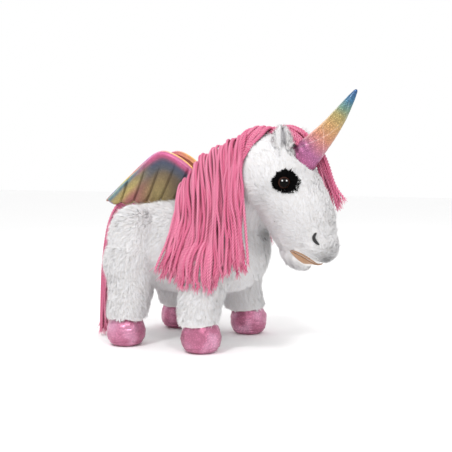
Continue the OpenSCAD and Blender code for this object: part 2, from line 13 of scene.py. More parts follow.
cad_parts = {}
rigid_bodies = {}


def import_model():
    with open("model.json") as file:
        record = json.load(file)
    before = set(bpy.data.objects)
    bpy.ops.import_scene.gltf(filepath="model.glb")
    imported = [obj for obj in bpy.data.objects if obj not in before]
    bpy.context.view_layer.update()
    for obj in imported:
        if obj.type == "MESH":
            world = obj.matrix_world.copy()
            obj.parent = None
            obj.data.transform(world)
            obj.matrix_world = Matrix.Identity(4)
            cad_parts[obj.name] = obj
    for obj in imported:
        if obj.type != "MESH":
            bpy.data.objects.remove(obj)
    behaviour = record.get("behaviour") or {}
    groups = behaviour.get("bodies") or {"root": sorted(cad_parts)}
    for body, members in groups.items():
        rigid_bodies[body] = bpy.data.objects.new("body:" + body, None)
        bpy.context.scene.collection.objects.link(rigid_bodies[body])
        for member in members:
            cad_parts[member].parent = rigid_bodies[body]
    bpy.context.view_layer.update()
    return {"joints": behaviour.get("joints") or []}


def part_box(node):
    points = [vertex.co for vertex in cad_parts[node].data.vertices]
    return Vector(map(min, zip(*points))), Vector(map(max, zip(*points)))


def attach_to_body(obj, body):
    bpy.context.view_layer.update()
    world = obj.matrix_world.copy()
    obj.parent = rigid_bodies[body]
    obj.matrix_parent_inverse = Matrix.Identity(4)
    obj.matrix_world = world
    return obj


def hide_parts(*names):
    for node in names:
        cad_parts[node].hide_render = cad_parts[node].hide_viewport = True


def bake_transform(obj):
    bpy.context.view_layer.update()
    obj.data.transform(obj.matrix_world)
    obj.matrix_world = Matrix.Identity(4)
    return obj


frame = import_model()

MM = 0.001
JOINT = {j["name"]: np.array(j["pos_m"]) for j in frame["joints"] if "pos_m" in j}


# ---------------------------------------------------------------- numbers and vectors

def unit(v):
    """Vectors scaled to length 1."""
    v = np.asarray(v, float)
    return v / np.maximum(np.linalg.norm(v, axis=-1, keepdims=True), 1e-12)


def mix(a, b, t):
    """Part of the way from a to b."""
    return a + (b - a) * t


def smoothstep(lo, hi, x):
    """0 at lo and 1 at hi, with soft ends; lo may be the larger."""
    t = np.clip((np.asarray(x, float) - lo) / (hi - lo), 0, 1)
    return t * t * (3 - 2 * t)


def box(node):
    """The two corners of a CAD node's box."""
    low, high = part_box(node)
    return np.array(low), np.array(high)


def catmull(points, count):
    """A smooth line of count points through the given ones."""
    p = np.asarray(points, float)
    p = np.vstack([2 * p[0] - p[1], p, 2 * p[-1] - p[-2]])
    s = np.linspace(0, len(p) - 3, count)
    i = np.minimum(s.astype(int), len(p) - 4)
    t = (s - i)[:, None]
    a, b, c, d = p[i], p[i + 1], p[i + 2], p[i + 3]
    return 0.5 * (2 * b + (c - a) * t + (2 * a - 5 * b + 4 * c - d) * t**2 + (3 * b - a - 3 * c + d) * t**3)


def value_noise(p, size, seed):
    """Smooth noise in -1..1 at points p, with features of about the given size."""
    q = np.asarray(p, float) / size + seed * 17.31
    i = np.floor(q).astype(np.int64)
    f = q - i
    f = f * f * (3 - 2 * f)
    total = np.zeros(len(q))
    for dx in (0, 1):
        for dy in (0, 1):
            for dz in (0, 1):
                n = ((i[:, 0] + dx) * 73856093 ^ (i[:, 1] + dy) * 19349663
                     ^ (i[:, 2] + dz) * 83492791 ^ seed * 2654435)
                r = ((n * 1103515245 + 12345) >> 8 & 0xFFFF) / 32767.5 - 1
                w = ((f[:, 0] if dx else 1 - f[:, 0]) * (f[:, 1] if dy else 1 - f[:, 1])
                     * (f[:, 2] if dz else 1 - f[:, 2]))
                total += r * w
    return total


def noise_vector(p, size, seed):
    """Three independent value noises as a vector."""
    return np.stack([value_noise(p, size, seed + k) for k in (1, 2, 3)], -1)


# ---------------------------------------------------------------- meshes

def new_object(name, verts, faces, material=None, smooth=True):
    """An object in the scene from lists of points and faces."""
    mesh = bpy.data.meshes.new(name)
    mesh.from_pydata([tuple(v) for v in verts], [], [tuple(int(i) for i in f) for f in faces])
    mesh.update()
    if smooth:
        mesh.polygons.foreach_set("use_smooth", [True] * len(mesh.polygons))
    obj = bpy.data.objects.new(name, mesh)
    bpy.context.scene.collection.objects.link(obj)
    if material:
        mesh.materials.append(material)
    return obj


def loft(centres, us, vs, ru, rv, sides=36):
    """Rings of points round a line, closed with a point at each end: (vertices, faces)."""
    a = np.linspace(0, 2 * np.pi, sides, endpoint=False)
    n = len(centres)
    rings = (centres[:, None] + np.cos(a)[None, :, None] * (us * ru[:, None])[:, None]
             + np.sin(a)[None, :, None] * (vs * rv[:, None])[:, None])
    verts = np.vstack([rings.reshape(-1, 3), centres[0], centres[-1]])
    faces = []
    for i in range(n - 1):
        for k in range(sides):
            q = (k + 1) % sides
            faces.append((i * sides + k, i * sides + q, (i + 1) * sides + q, (i + 1) * sides + k))
    for k in range(sides):
        q = (k + 1) % sides
        faces.append((n * sides, q, k))
        faces.append((n * sides + 1, (n - 1) * sides + k, (n - 1) * sides + q))
    return verts, faces


def ellipsoid(centre, radii, axes=None, power=2.0, steps=28, sides=40):
    """A closed ellipsoid along its first axis; a power above 2 makes it fuller."""
    axes = np.eye(3) if axes is None else np.asarray(axes, float)
    t = np.sin(np.linspace(-np.pi / 2, np.pi / 2, steps) * 0.995)
    half = np.power(np.maximum(1 - np.abs(t) ** power, 0), 0.5)
    centres = centre + t[:, None] * axes[0] * radii[0]
    ones = np.ones((steps, 1))
    return loft(centres, ones * axes[1], ones * axes[2], half * radii[1], half * radii[2], sides)


def limb(path, radii, steps=24, sides=32):
    """A round limb through points with radii, with domed ends."""
    line = catmull(path, steps)
    r = catmull(np.asarray(radii, float)[:, None], steps)[:, 0]
    tangent = unit(np.gradient(line, axis=0))
    side = np.tile([0.0, 1.0, 0.0], (steps, 1))
    side = unit(side - (side * tangent).sum(1, keepdims=True) * tangent)
    up = np.cross(tangent, side)
    return loft(line, side, up, r, r, sides)


def fused(name, solids, voxel, smoothing):
    """Joins closed meshes into one skin with soft transitions: an object with triangles and quads."""
    verts, faces, base = [], [], 0
    for v, f in solids:
        verts.append(v)
        faces += [tuple(i + base for i in face) for face in f]
        base += len(v)
    obj = new_object(name, np.vstack(verts), faces)
    mod = obj.modifiers.new("remesh", "REMESH")
    mod.mode = "VOXEL"
    mod.voxel_size = voxel
    mod = obj.modifiers.new("smooth", "SMOOTH")
    mod.factor = 0.5
    mod.iterations = smoothing
    graph = bpy.context.evaluated_depsgraph_get()
    done = bpy.data.meshes.new_from_object(obj.evaluated_get(graph))
    obj.modifiers.clear()
    old = obj.data
    obj.data = done
    bpy.data.meshes.remove(old)
    return obj


def arrays(obj):
    """Vertices, vertex normals and triangles of an object's mesh."""
    mesh = obj.data
    mesh.calc_loop_triangles()
    v = np.zeros(len(mesh.vertices) * 3)
    mesh.vertices.foreach_get("co", v)
    n = np.zeros(len(mesh.vertices) * 3)
    mesh.vertices.foreach_get("normal", n)
    t = np.zeros(len(mesh.loop_triangles) * 3, np.int32)
    mesh.loop_triangles.foreach_get("vertices", t)
    return v.reshape(-1, 3), n.reshape(-1, 3), t.reshape(-1, 3)


def keep_faces(obj, name, wanted, material):
    """A copy of part of a skin: the faces whose middle the function wants."""
    mesh = obj.data
    centres = np.zeros(len(mesh.polygons) * 3)
    mesh.polygons.foreach_get("center", centres)
    keep = wanted(centres.reshape(-1, 3))
    v = np.array([tuple(x.co) for x in mesh.vertices])
    faces = [tuple(p.vertices) for p, k in zip(mesh.polygons, keep) if k]
    used = sorted({i for f in faces for i in f})
    index = {old: new for new, old in enumerate(used)}
    return new_object(name, v[used], [tuple(index[i] for i in f) for f in faces], material)


def scatter(obj, density, rng):
    """Random points on an object's mesh, with smooth normals: density is per square millimetre."""
    v, n, t = arrays(obj)
    a, b, c = v[t[:, 0]], v[t[:, 1]], v[t[:, 2]]
    area = np.linalg.norm(np.cross(b - a, c - a), axis=1) / 2
    count = int(area.sum() / MM**2 * density)
    pick = rng.choice(len(t), count, p=area / area.sum())
    r1, r2 = np.sqrt(rng.random(count)), rng.random(count)
    w = np.stack([1 - r1, r1 * (1 - r2), r1 * r2], -1)[..., None]
    tri = t[pick]
    p = (v[tri] * w).sum(1)
    m = unit((n[tri] * w).sum(1))
    return p, m


def raw_mesh(name, verts, corners, sizes, uv, materials, pick, normals=None):
    """A mesh from flat arrays, with its own UV map for baking and its own normals.

    Pick says which of the materials each face has.
    """
    mesh = bpy.data.meshes.new(name)
    mesh.vertices.add(len(verts))
    mesh.vertices.foreach_set("co", verts.astype(np.float32).ravel())
    mesh.loops.add(len(corners))
    mesh.loops.foreach_set("vertex_index", corners.astype(np.int32))
    mesh.polygons.add(len(sizes))
    starts = np.concatenate([[0], np.cumsum(sizes)[:-1]]).astype(np.int32)
    mesh.polygons.foreach_set("loop_start", starts)
    mesh.polygons.foreach_set("loop_total", sizes.astype(np.int32))
    mesh.polygons.foreach_set("use_smooth", np.ones(len(sizes), bool))
    mesh.update(calc_edges=True)
    if uv is not None:
        layer = mesh.uv_layers.new(name="OFBake")
        layer.data.foreach_set("uv", uv[corners].astype(np.float32).ravel())
    if normals is not None:
        mesh.normals_split_custom_set_from_vertices(normals.astype(np.float32))
    for one in materials:
        mesh.materials.append(one)
    mesh.polygons.foreach_set("material_index", pick.astype(np.int32))
    obj = bpy.data.objects.new(name, mesh)
    bpy.context.scene.collection.objects.link(obj)
    return obj


def give_uv(obj, uv):
    """A UV map for baking, with one place for each vertex."""
    corners = np.zeros(len(obj.data.loops), np.int32)
    obj.data.loops.foreach_get("vertex_index", corners)
    layer = obj.data.uv_layers.new(name="OFBake")
    layer.data.foreach_set("uv", uv[corners].astype(np.float32).ravel())


def cell_uv(count, shape):
    """UV places for count strips: each strip fills its own cell of a square grid."""
    side = int(math.ceil(math.sqrt(count)))
    i = np.arange(count)
    corner = np.stack([i % side, i // side], -1)[:, None, :] / side
    return (corner + (0.1 + 0.8 * np.asarray(shape))[None] / side).reshape(-1, 2)


def blades(name, root, normal, flow, length, width, materials, rng,
           lean=(46, 70), clump=0.22, clump_size=8, stray=20, soft=0.82):
    """Pile: each hair is a narrow curved blade that leans with the flow.

    Neighbours' tips draw together by the share clump. Lean and stray are in degrees.
    """
    n = len(root)
    flow = flow - (flow * normal).sum(1, keepdims=True) * normal
    flow = unit(flow)
    side = np.cross(normal, flow)
    turn = np.radians(rng.normal(0, stray, n))[:, None]
    flow = flow * np.cos(turn) + side * np.sin(turn)
    stretch = 0.68 + 0.80 * rng.random(n) ** 2.6
    length = length * stretch
    low = np.radians(rng.normal(lean[0], 14, n))[:, None]
    high = np.radians(rng.normal(lean[1], 18, n))[:, None]
    half = length[:, None] / 2
    p0 = root - normal * 0.4 * MM
    p1 = p0 + half * (np.cos(low) * normal + np.sin(low) * flow)
    p2 = p1 + half * (np.cos(high) * normal + np.sin(high) * flow)
    if clump:
        centres = rng.choice(n, max(n // clump_size, 1), replace=False)
        near = nearest(root, root[centres])
        lead = centres[near]
        shift = p2[lead] - p2
        p2 = p2 + shift * clump
        p1 = p1 + (p1[lead] - p1) * clump * 0.45
    run = unit(p2 - p0)
    across = unit(np.cross(run, normal))
    roll = np.radians(rng.normal(0, 24, n))[:, None]
    across = across * np.cos(roll) + np.cross(run, across) * np.sin(roll)
    face = np.cross(across, run)
    across = across * np.where((face * normal).sum(1, keepdims=True) < 0, -1, 1)
    w = (width * rng.uniform(0.7, 1.3, n) / np.maximum(stretch, 0.8))[:, None] / 2
    verts = np.stack([p0 - across * w, p0 + across * w,
                      p1 - across * w * 0.85, p1 + across * w * 0.85, p2], 1)
    base = np.arange(n)[:, None] * 5
    corners = (base + np.array([0, 1, 3, 2, 2, 3, 4])).ravel()
    sizes = np.tile([4, 3], n)
    uv = cell_uv(n, [(0, 0), (1, 0), (0, 0.5), (1, 0.5), (0.5, 1)])
    face = unit(np.cross(across, run))
    shade = unit(mix(face, normal, soft) + rng.normal(0, 0.08, (n, 3)))
    pick = np.repeat(rng.integers(0, len(materials), n), 2)
    return raw_mesh(name, verts.reshape(-1, 3), corners, sizes, uv, materials, pick,
                    np.repeat(shade, 5, axis=0))


def nearest(points, targets):
    """Index of the nearest target for each point, by a k-d tree."""
    tree = KDTree(len(targets))
    for i, t in enumerate(targets):
        tree.insert(t, i)
    tree.balance()
    return np.array([tree.find(p)[1] for p in points])


# ---------------------------------------------------------------- materials

def material(name):
    """A new material, with its nodes, links and shader."""
    mat = bpy.data.materials.new(name)
    mat.use_nodes = True
    nodes = mat.node_tree.nodes
    return mat, nodes, mat.node_tree.links, nodes["Principled BSDF"]


def ramp(nodes, stops):
    """A colour ramp: stops are (place, (r, g, b))."""
    node = nodes.new("ShaderNodeValToRGB")
    elements = node.color_ramp.elements
    while len(elements) < len(stops):
        elements.new(0.5)
    for e, (at, colour) in zip(elements, stops):
        e.position = at
        e.color = (*colour, 1)
    return node


def plain(name, colour, roughness=0.8, specular=0.3, sheen=0.0):
    """One even colour, linear RGB."""
    mat, _, _, shader = material(name)
    shader.inputs["Base Color"].default_value = (*colour, 1)
    shader.inputs["Roughness"].default_value = roughness
    shader.inputs["Specular IOR Level"].default_value = specular
    shader.inputs["Sheen Weight"].default_value = sheen
    return mat


def painted(name, roughness, metallic=0.0, glitter=0.0, grain=1400, specular=0.5, bump=0.0):
    """Colours come from the mesh. Glitter adds small bright and dark flakes."""
    mat, nodes, links, shader = material(name)
    tone = nodes.new("ShaderNodeVertexColor")
    tone.layer_name = "tone"
    colour = tone.outputs["Color"]
    if glitter:
        coords = nodes.new("ShaderNodeTexCoord")
        cells = nodes.new("ShaderNodeTexVoronoi")
        cells.inputs["Scale"].default_value = grain
        links.new(coords.outputs["Object"], cells.inputs["Vector"])
        split = nodes.new("ShaderNodeSeparateColor")
        links.new(cells.outputs["Color"], split.inputs["Color"])
        flakes = ramp(nodes, [(0.0, (1 - glitter,) * 3), (0.55, (1, 1, 1)),
                              (0.9, (1 + glitter,) * 3), (0.97, (1 + 4 * glitter,) * 3)])
        links.new(split.outputs["Red"], flakes.inputs["Fac"])
        blend = nodes.new("ShaderNodeMix")
        blend.data_type = "RGBA"
        blend.blend_type = "MULTIPLY"
        blend.inputs["Factor"].default_value = 1.0
        links.new(colour, blend.inputs[6])
        links.new(flakes.outputs["Color"], blend.inputs[7])
        colour = blend.outputs[2]
        bumps = nodes.new("ShaderNodeBump")
        bumps.inputs["Strength"].default_value = bump
        bumps.inputs["Distance"].default_value = 0.0004
        links.new(split.outputs["Green"], bumps.inputs["Height"])
        links.new(bumps.outputs["Normal"], shader.inputs["Normal"])
    links.new(colour, shader.inputs["Base Color"])
    shader.inputs["Roughness"].default_value = roughness
    shader.inputs["Metallic"].default_value = metallic
    shader.inputs["Specular IOR Level"].default_value = specular
    return mat


def paint(obj, colours):
    """Gives a mesh its own colour at each vertex, linear RGB."""
    colours = np.broadcast_to(np.asarray(colours, float), (len(obj.data.vertices), 3))
    layer = obj.data.color_attributes.new(name="tone", type="FLOAT_COLOR", domain="POINT")
    rgba = np.hstack([colours, np.ones((len(colours), 1))])
    layer.data.foreach_set("color", rgba.astype(np.float32).ravel())


def linear(r, g, b):
    """Linear colour from a screen colour given as 0..255."""
    return tuple(((c / 255 + 0.055) / 1.055) ** 2.4 if c > 10 else c / 255 / 12.92 for c in (r, g, b))


def bands(stops, x):
    """Colours along a scale: stops are (place, (r, g, b))."""
    at = [s[0] for s in stops]
    table = np.array([linear(*s[1]) for s in stops])
    return np.stack([np.interp(x, at, table[:, k]) for k in range(3)], -1)


WHITE = [plain("pile_white", linear(236, 235, 236), 0.9, 0.15, 0.1),
         plain("pile_cream", linear(232, 229, 227), 0.9, 0.15, 0.1),
         plain("pile_bright", linear(240, 240, 242), 0.9, 0.15, 0.1)]
BACKING = plain("fur_backing", linear(232, 230, 229), 0.95, 0.1)
PATCH = plain("patch_black", (0.0022, 0.002, 0.0022), 0.9, 0.08)
PINKS = [plain("yarn_pink", linear(228, 136, 166), 0.85, 0.15, 0.1),
         plain("yarn_pink_deep", linear(220, 120, 152), 0.85, 0.15, 0.1),
         plain("yarn_pink_light", linear(236, 150, 178), 0.85, 0.15, 0.1),
         # The last pink is painted shade for the grooves between plies.
         plain("yarn_pink_groove_shade", linear(176, 70, 106), 0.9, 0.1)]
SUEDE = plain("suede_tan", linear(172, 136, 108), 0.9, 0.15, 0.3)
THREAD = plain("thread_black", linear(20, 20, 22), 0.5, 0.5)
SATIN = plain("ear_satin", linear(232, 230, 232), 0.4, 0.5, 0.1)
EYE = painted("eye_gloss", 0.05, specular=0.06)
FOIL_HORN = painted("horn_foil", 0.32, 0.7, 0.26, 1700, bump=0.3)
FOIL_WING = painted("wing_foil", 0.42, 0.55, 0.16, 1700, bump=0.25)
GLITTER_HOOF = painted("hoof_glitter", 0.3, 0.6, 0.2, 1700, bump=0.3)

SIDES = {"right": -1.0, "left": 1.0}


# ---------------------------------------------------------------- the body's skin

chest_low, rump_high = box("torso_skin")
torso_mid = (chest_low + rump_high) / 2
torso_half = (rump_high - chest_low) / 2
NECK = JOINT["neck_nod"]
HEAD = JOINT["head_turn"]
LIMBS = {}
for end in ("front", "hind"):
    for side in ("right", "left"):
        low, high = box(f"hoof_{end}_{side}_cover")
        skin_low, skin_high = box(f"leg_{end}_{side}_skin")
        LIMBS[f"{end}_{side}"] = {
            "hip": JOINT[f"leg_{end}_{side}_swing"],
            "hoof": (low + high) / 2,
            "cuff": np.array([(low[0] + high[0]) / 2, (low[1] + high[1]) / 2, high[2]]),
            "hoof_r": (high[0] - low[0]) / 2,
            "r": (skin_high[0] - skin_low[0]) / 2,
        }

PROUD = 0.5 * MM


def body_solids():
    """Torso, chest, haunches and legs as closed forms that overlap."""
    solids = [ellipsoid(torso_mid, torso_half + PROUD, power=4.0)]
    chest = np.array([NECK[0] + 18 * MM, 0, torso_mid[2] + 6 * MM])
    solids.append(ellipsoid(chest, np.array([30, 40, 44]) * MM))
    for key, leg in LIMBS.items():
        hip, cuff, r = leg["hip"], leg["cuff"], leg["r"]
        out = np.sign(hip[1])
        solids.append(ellipsoid(hip, np.array([r, r, r])))
        if "hind" in key:
            solids.append(ellipsoid(hip + np.array([1, -3 * out, 28]) * MM, np.array([29, 27, 35]) * MM))
            knee = mix(hip, cuff, 0.55) - np.array([0, out * 2.5, 0]) * MM
        else:
            knee = mix(hip, cuff, 0.55) - np.array([6.0, out * 2.5, 0]) * MM
            cuff = cuff - np.array([3.5, 0, 0]) * MM
        bottom = cuff - np.array([0, 0, 2.5 * MM])
        solids.append(limb([hip, knee, cuff, bottom], [r * 0.88, 23.0 * MM, 21.2 * MM, 19.5 * MM]))
    return solids


def neck_solids():
    """The neck, from inside the torso to inside the head."""
    axis = unit(HEAD - NECK)
    top = mix(NECK, HEAD, 0.93)
    low = NECK - axis * 18 * MM
    mid = mix(NECK, HEAD, 0.5) - np.array([2 * MM, 0, -2 * MM])
    return [limb([low, NECK, mid, top], [40 * MM, 43 * MM, 40 * MM, 36 * MM])]


body = fused("body_form", body_solids() + neck_solids(), 3 * MM, 9)
LEG_LINE = 74 * MM
NECK_AXIS = unit(np.array([0.64, 0, 0.77]))
NECK_START = NECK - NECK_AXIS * 12 * MM


def leg_of(p):
    """Which leg each point belongs to: an index into LIMBS, or -1."""
    owner = np.full(len(p), -1)
    for i, leg in enumerate(LIMBS.values()):
        hip, cuff = leg["hip"], leg["cuff"]
        t = np.clip((hip[2] - p[:, 2]) / (hip[2] - cuff[2]), 0, 1.1)[:, None]
        middle = mix(hip, cuff, t)
        near = np.hypot(p[:, 0] - middle[:, 0], p[:, 1] - middle[:, 1]) < 32 * MM
        owner[near & (p[:, 2] < LEG_LINE)] = i
    return owner


def on_neck(p):
    """Which points belong to the neck."""
    return ((p - NECK_START) @ NECK_AXIS > 0) & (leg_of(p) < 0)


def settle(obj, part):
    """Attaches a torso piece of the body's cloth or pile to the torso; neck and leg pieces only have their
    placing baked into their points.
    """
    if part == "neck":
        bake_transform(obj)
    elif part == "torso":
        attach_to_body(obj, "torso")
    else:
        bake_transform(obj)


def part_name(part):
    """The name of a body's pieces: legs are keyed by place alone."""
    return part if part in ("torso", "neck") else f"leg_{part}"


for part, wanted in [("torso", lambda c: ~on_neck(c) & (leg_of(c) < 0)), ("neck", on_neck)] + [
        (key, lambda c, i=i: leg_of(c) == i) for i, key in enumerate(LIMBS)]:
    node = part_name(part)
    piece = keep_faces(body, f"{node}_cloth", wanted, BACKING)
    settle(piece, part)
    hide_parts(f"{node}_skin", f"{node}_stuffing")


# ---------------------------------------------------------------- the head's skin

HEAD_R = 46 * MM
FACE = unit(np.array([0.5, 0, -0.866]))


def at_head(x, y, z):
    """A point given in millimetres from the middle of the head."""
    return HEAD + np.array([x, y, z]) * MM


def sleeve(path, wide, high, steps=30, sides=36):
    """A closed sleeve with its own half width and half height at each point."""
    line = catmull(path, steps)
    ru = catmull(np.asarray(wide, float)[:, None], steps)[:, 0]
    rv = catmull(np.asarray(high, float)[:, None], steps)[:, 0]
    tangent = unit(np.gradient(line, axis=0))
    side = np.tile([0.0, 1.0, 0.0], (steps, 1))
    return loft(line, side, np.cross(tangent, side), ru, rv, sides)


def head_solids():
    """Skull, muzzle, nose and lower lip."""
    tilt = math.radians(-32)
    lip_axes = [[math.cos(tilt), 0, math.sin(tilt)], [0, 1, 0], [-math.sin(tilt), 0, math.cos(tilt)]]
    return [
        ellipsoid(HEAD, np.array([HEAD_R, HEAD_R, HEAD_R])),
        sleeve([at_head(0, 0, 0), at_head(25, 0, -34), at_head(39.5, 0, -61), at_head(51, 0, -76)],
               np.array([44, 37, 30, 24]) * MM, np.array([44.5, 38, 35, 26]) * MM),
        ellipsoid(at_head(51.5, 0, -75), np.array([21.5, 25, 22]) * MM),
        ellipsoid(at_head(28, 0, -86.5), np.array([21, 19, 12]) * MM, lip_axes),
    ]


head = fused("head_cloth", head_solids(), 2 * MM, 5)
HORN_BASE = at_head(30.5, 0, 17)
HORN_AIM = unit(np.array([0.62, 0, 0.785]))
HORN_FOOT = 35.5 * MM


def from_horn(p):
    """Distance along the horn's axis from the head's middle, and distance out from that axis."""
    along = (p - HEAD) @ HORN_AIM
    off = p - HORN_BASE
    return along, np.linalg.norm(off - (off @ HORN_AIM)[:, None] * HORN_AIM, axis=1)


# The skin lies flat under the horn's sewn-on base.
skin = np.array([tuple(v.co) for v in head.data.vertices])
along, out = from_horn(skin)
level = mix(HORN_FOOT, along, smoothstep(19 * MM, 33 * MM, out))
skin += np.where(along > level, level - along, 0)[:, None] * HORN_AIM
head.data.vertices.foreach_set("co", skin.astype(np.float32).ravel())
head.data.update()
head.data.materials.clear()
head.data.materials.append(BACKING)
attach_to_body(head, "head")
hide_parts("head_skin", "head_stuffing")


def tree_of(obj):
    """A search tree of an object's triangles."""
    v, _, t = arrays(obj)
    return BVHTree.FromPolygons([tuple(p) for p in v], [tuple(int(i) for i in f) for f in t])


BODY_TREE = tree_of(body)
HEAD_TREE = tree_of(head)
bpy.data.objects.remove(body)


def push_out(points, trees, clear):
    """Moves points so that they stay clear of the forms."""
    out = points.copy()
    for tree in trees:
        for i, p in enumerate(out):
            place, normal, _, dist = tree.find_nearest(Vector(p))
            gap = (Vector(p) - place).dot(normal)
            if dist > clear and gap > 0:
                continue
            if gap < clear:
                out[i] = np.array(place + normal * clear)
    return out


# ---------------------------------------------------------------- eyes

def eye_way(side):
    """The direction from the head's middle to an eye."""
    low, high = box(f"eye_patch_{side}")
    return unit((low + high) / 2 - HEAD)


EYES = {side: eye_way(side) for side in SIDES}
EYE_OUT = 46.6  # mm from the head's middle to the middle of the glass

for side in SIDES:
    way = EYES[side]
    centre = HEAD + way * EYE_OUT * MM
    up = unit(np.array([0, 0, 1.0]) - way * way[2])
    across = np.cross(up, way)
    verts, faces = ellipsoid(centre, np.array([7.2, 7.2, 7.2]) * MM, [way, across, up], steps=40, sides=48)
    eye = new_object(f"eye_{side}_glass", verts, faces, EYE)
    angle = np.degrees(np.arccos(np.clip(unit(verts - centre) @ way, -1, 1)))[:, None]
    tone = mix(np.array([[0.002, 0.0016, 0.0016]]), np.array([[0.036, 0.014, 0.009]]),
               smoothstep(44, 50, angle))
    tone = mix(tone, np.array([[0.004, 0.003, 0.003]]), smoothstep(58, 64, angle))
    # Two small painted highlights, bright glints, on the upper half of the dome.
    for turn in (-0.42, 0.36):
        painted_glint_way = unit(way + up * 0.42 + across * turn)
        off = np.degrees(np.arccos(np.clip(unit(verts - centre) @ painted_glint_way, -1, 1)))[:, None]
        tone = mix(np.array([[0.75, 0.75, 0.75]]), tone, smoothstep(4.5, 8.5, off))
    paint(eye, tone)
    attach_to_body(eye, "head")
    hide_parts(f"eye_{side}", f"eye_washer_{side}")


def on_patch(p, side, grow=0.0):
    """The irregular dark patch round an eye, longer towards the nose."""
    way = EYES[side]
    up = unit(np.array([0.25, 0, 1.0]) - way * (way @ np.array([0.25, 0, 1.0])))
    front = np.cross(up, way) * (1 if side == "right" else -1)
    q = p - (HEAD + way * HEAD_R)
    a, b = (q @ front) / MM, (q @ up) / MM
    edge = 1 + 0.10 * value_noise(p, 5 * MM, 5)
    inside = ((a - 2.5) / (14.2 + grow)) ** 2 + ((b - 0.8) / (11.8 + grow)) ** 2 < edge
    return inside & (p @ way > (HEAD @ way))


for side in SIDES:
    patch = keep_faces(head, f"eye_patch_{side}_cloth", lambda c, side=side: on_patch(c, side), PATCH)
    shift = EYES[side] * 0.8 * MM
    for v in patch.data.vertices:
        v.co += Vector(shift)
    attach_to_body(patch, "head")
    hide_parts(f"eye_patch_{side}")


# ---------------------------------------------------------------- mouth and nostrils

MOUTH = at_head(37.5, 0, -87.5)
MOUTH_TILT = math.radians(-32)
MOUTH_AHEAD = np.array([math.cos(MOUTH_TILT), 0, math.sin(MOUTH_TILT)])
MOUTH_UP = np.array([-math.sin(MOUTH_TILT), 0, math.cos(MOUTH_TILT)])


def mouth_band():
    """The folded lining, as a curved band laid on the muzzle."""
    turns, across = 61, 17
    verts = []
    for a in np.linspace(-118, 118, turns):
        way = MOUTH_AHEAD * math.cos(math.radians(a)) + np.array([0, 1, 0]) * math.sin(math.radians(a))
        narrow = mix(0.35, 1.0, smoothstep(20, 65, abs(a)))
        half = 6.6 * MM * math.sqrt(max(1 - (abs(a) / 119) ** 3, 0)) * narrow + 0.2 * MM
        for w in np.linspace(-1, 1, across):
            start = MOUTH + MOUTH_UP * half * w
            hit, _, _, dist = HEAD_TREE.ray_cast(Vector(start + way * 0.12), Vector(-way))
            reach = 0.12 - dist if hit is not None else 10 * MM
            swell = 3.6 * MM * (1 - w**4) - 4.0 * MM * math.exp(-((w - 0.35) / 0.13) ** 2) - 0.8 * MM
            verts.append(start + way * (reach + swell))
    faces = [(i * across + j, (i + 1) * across + j, (i + 1) * across + j + 1, i * across + j + 1)
             for i in range(turns - 1) for j in range(across - 1)]
    return new_object("mouth_lips", verts, faces, SUEDE)


lips = mouth_band()
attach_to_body(lips, "head")
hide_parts("mouth_lining")


def nostril_line(sign):
    """The crescent's points on the nose, bulging to the rear."""
    t = np.linspace(-1, 1, 15)
    x = 60.0 - 4.0 * (1 - t**2) + 1.6 * t
    z = -66.5 - 6.6 * t
    out = []
    for a, b in zip(x, z):
        start = at_head(a, sign * 80, b)
        hit, normal, _, _ = HEAD_TREE.ray_cast(Vector(start), Vector((0, -sign, 0)))
        out.append((np.array(hit), np.array(normal)))
    return out


stitch_verts, stitch_faces = [], []
NOSTRIL_POINTS = []
for side in SIDES:
    line = nostril_line(SIDES[side])
    centre = catmull([p + n * 1.7 * MM for p, n in line], 90)
    NOSTRIL_POINTS.append(centre)
    t = np.linspace(-1, 1, 90)
    thick = (1.8 * np.sqrt(np.maximum(1 - t**4, 0.03)) + 0.13 * np.sin(t * 60)) * MM
    tangent = unit(np.gradient(centre, axis=0))
    outward = np.array([0, SIDES[side], 0.45])
    bi = unit(np.cross(tangent, np.tile(outward, (90, 1))))
    v, f = loft(centre, bi, np.cross(tangent, bi), thick, thick * 0.75, 12)
    stitch_faces += [tuple(i + len(stitch_verts) for i in face) for face in f]
    stitch_verts += list(v)
stitches = new_object("nostril_threads", stitch_verts, stitch_faces, THREAD)
NOSTRIL_POINTS = np.vstack(NOSTRIL_POINTS)
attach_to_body(stitches, "head")
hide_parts("nostril_stitching")


# ---------------------------------------------------------------- ears

def ear_frame(side):
    """Root, direction upwards, direction the ear faces, and across."""
    sign = SIDES[side]
    root = JOINT[f"ear_{side}_fold"] - np.array([-2.5, sign * 1.5, 8]) * MM
    up = unit(np.array([-0.02, sign * (0.5 if side == "left" else 0.06), 1.0]))
    facing = unit(np.array([0.55, sign * 0.83, 0.0]))
    facing = unit(facing - up * (facing @ up))
    return root, up, facing, np.cross(facing, up) * sign


def ear_leaf(side, inset, open_half=24, steps_u=41, steps_v=30):
    """A cupped leaf, open to the front by twice the given angle. Inset moves it in from the outer cloth."""
    root, up, facing, across = ear_frame(side)
    verts = []
    for j in range(steps_v):
        v = j / (steps_v - 1)
        taper = math.sqrt(max(1 - max(v - 0.15, 0) ** 2.0 / 0.7225, 0))
        wide = (8.2 * MM - inset) * taper + 0.3 * MM
        deep = (6.5 * MM - inset) * taper * (0.75 if inset else 1.0) + 0.3 * MM
        for i in range(steps_u):
            u = mix(-1, 1, i / (steps_u - 1))
            a = u * math.radians(180 - open_half * mix(0.9, 1.15, v))
            fold = 0.6 * MM * math.sin(u * 14) if inset else 0
            verts.append(root + up * (v * (27 * MM - inset)) + across * (wide + fold) * math.sin(a)
                         - facing * ((deep + fold) * math.cos(a)))
    faces = [(j * steps_u + i, j * steps_u + i + 1, (j + 1) * steps_u + i + 1, (j + 1) * steps_u + i)
             for j in range(steps_v - 1) for i in range(steps_u - 1)]
    return verts, faces


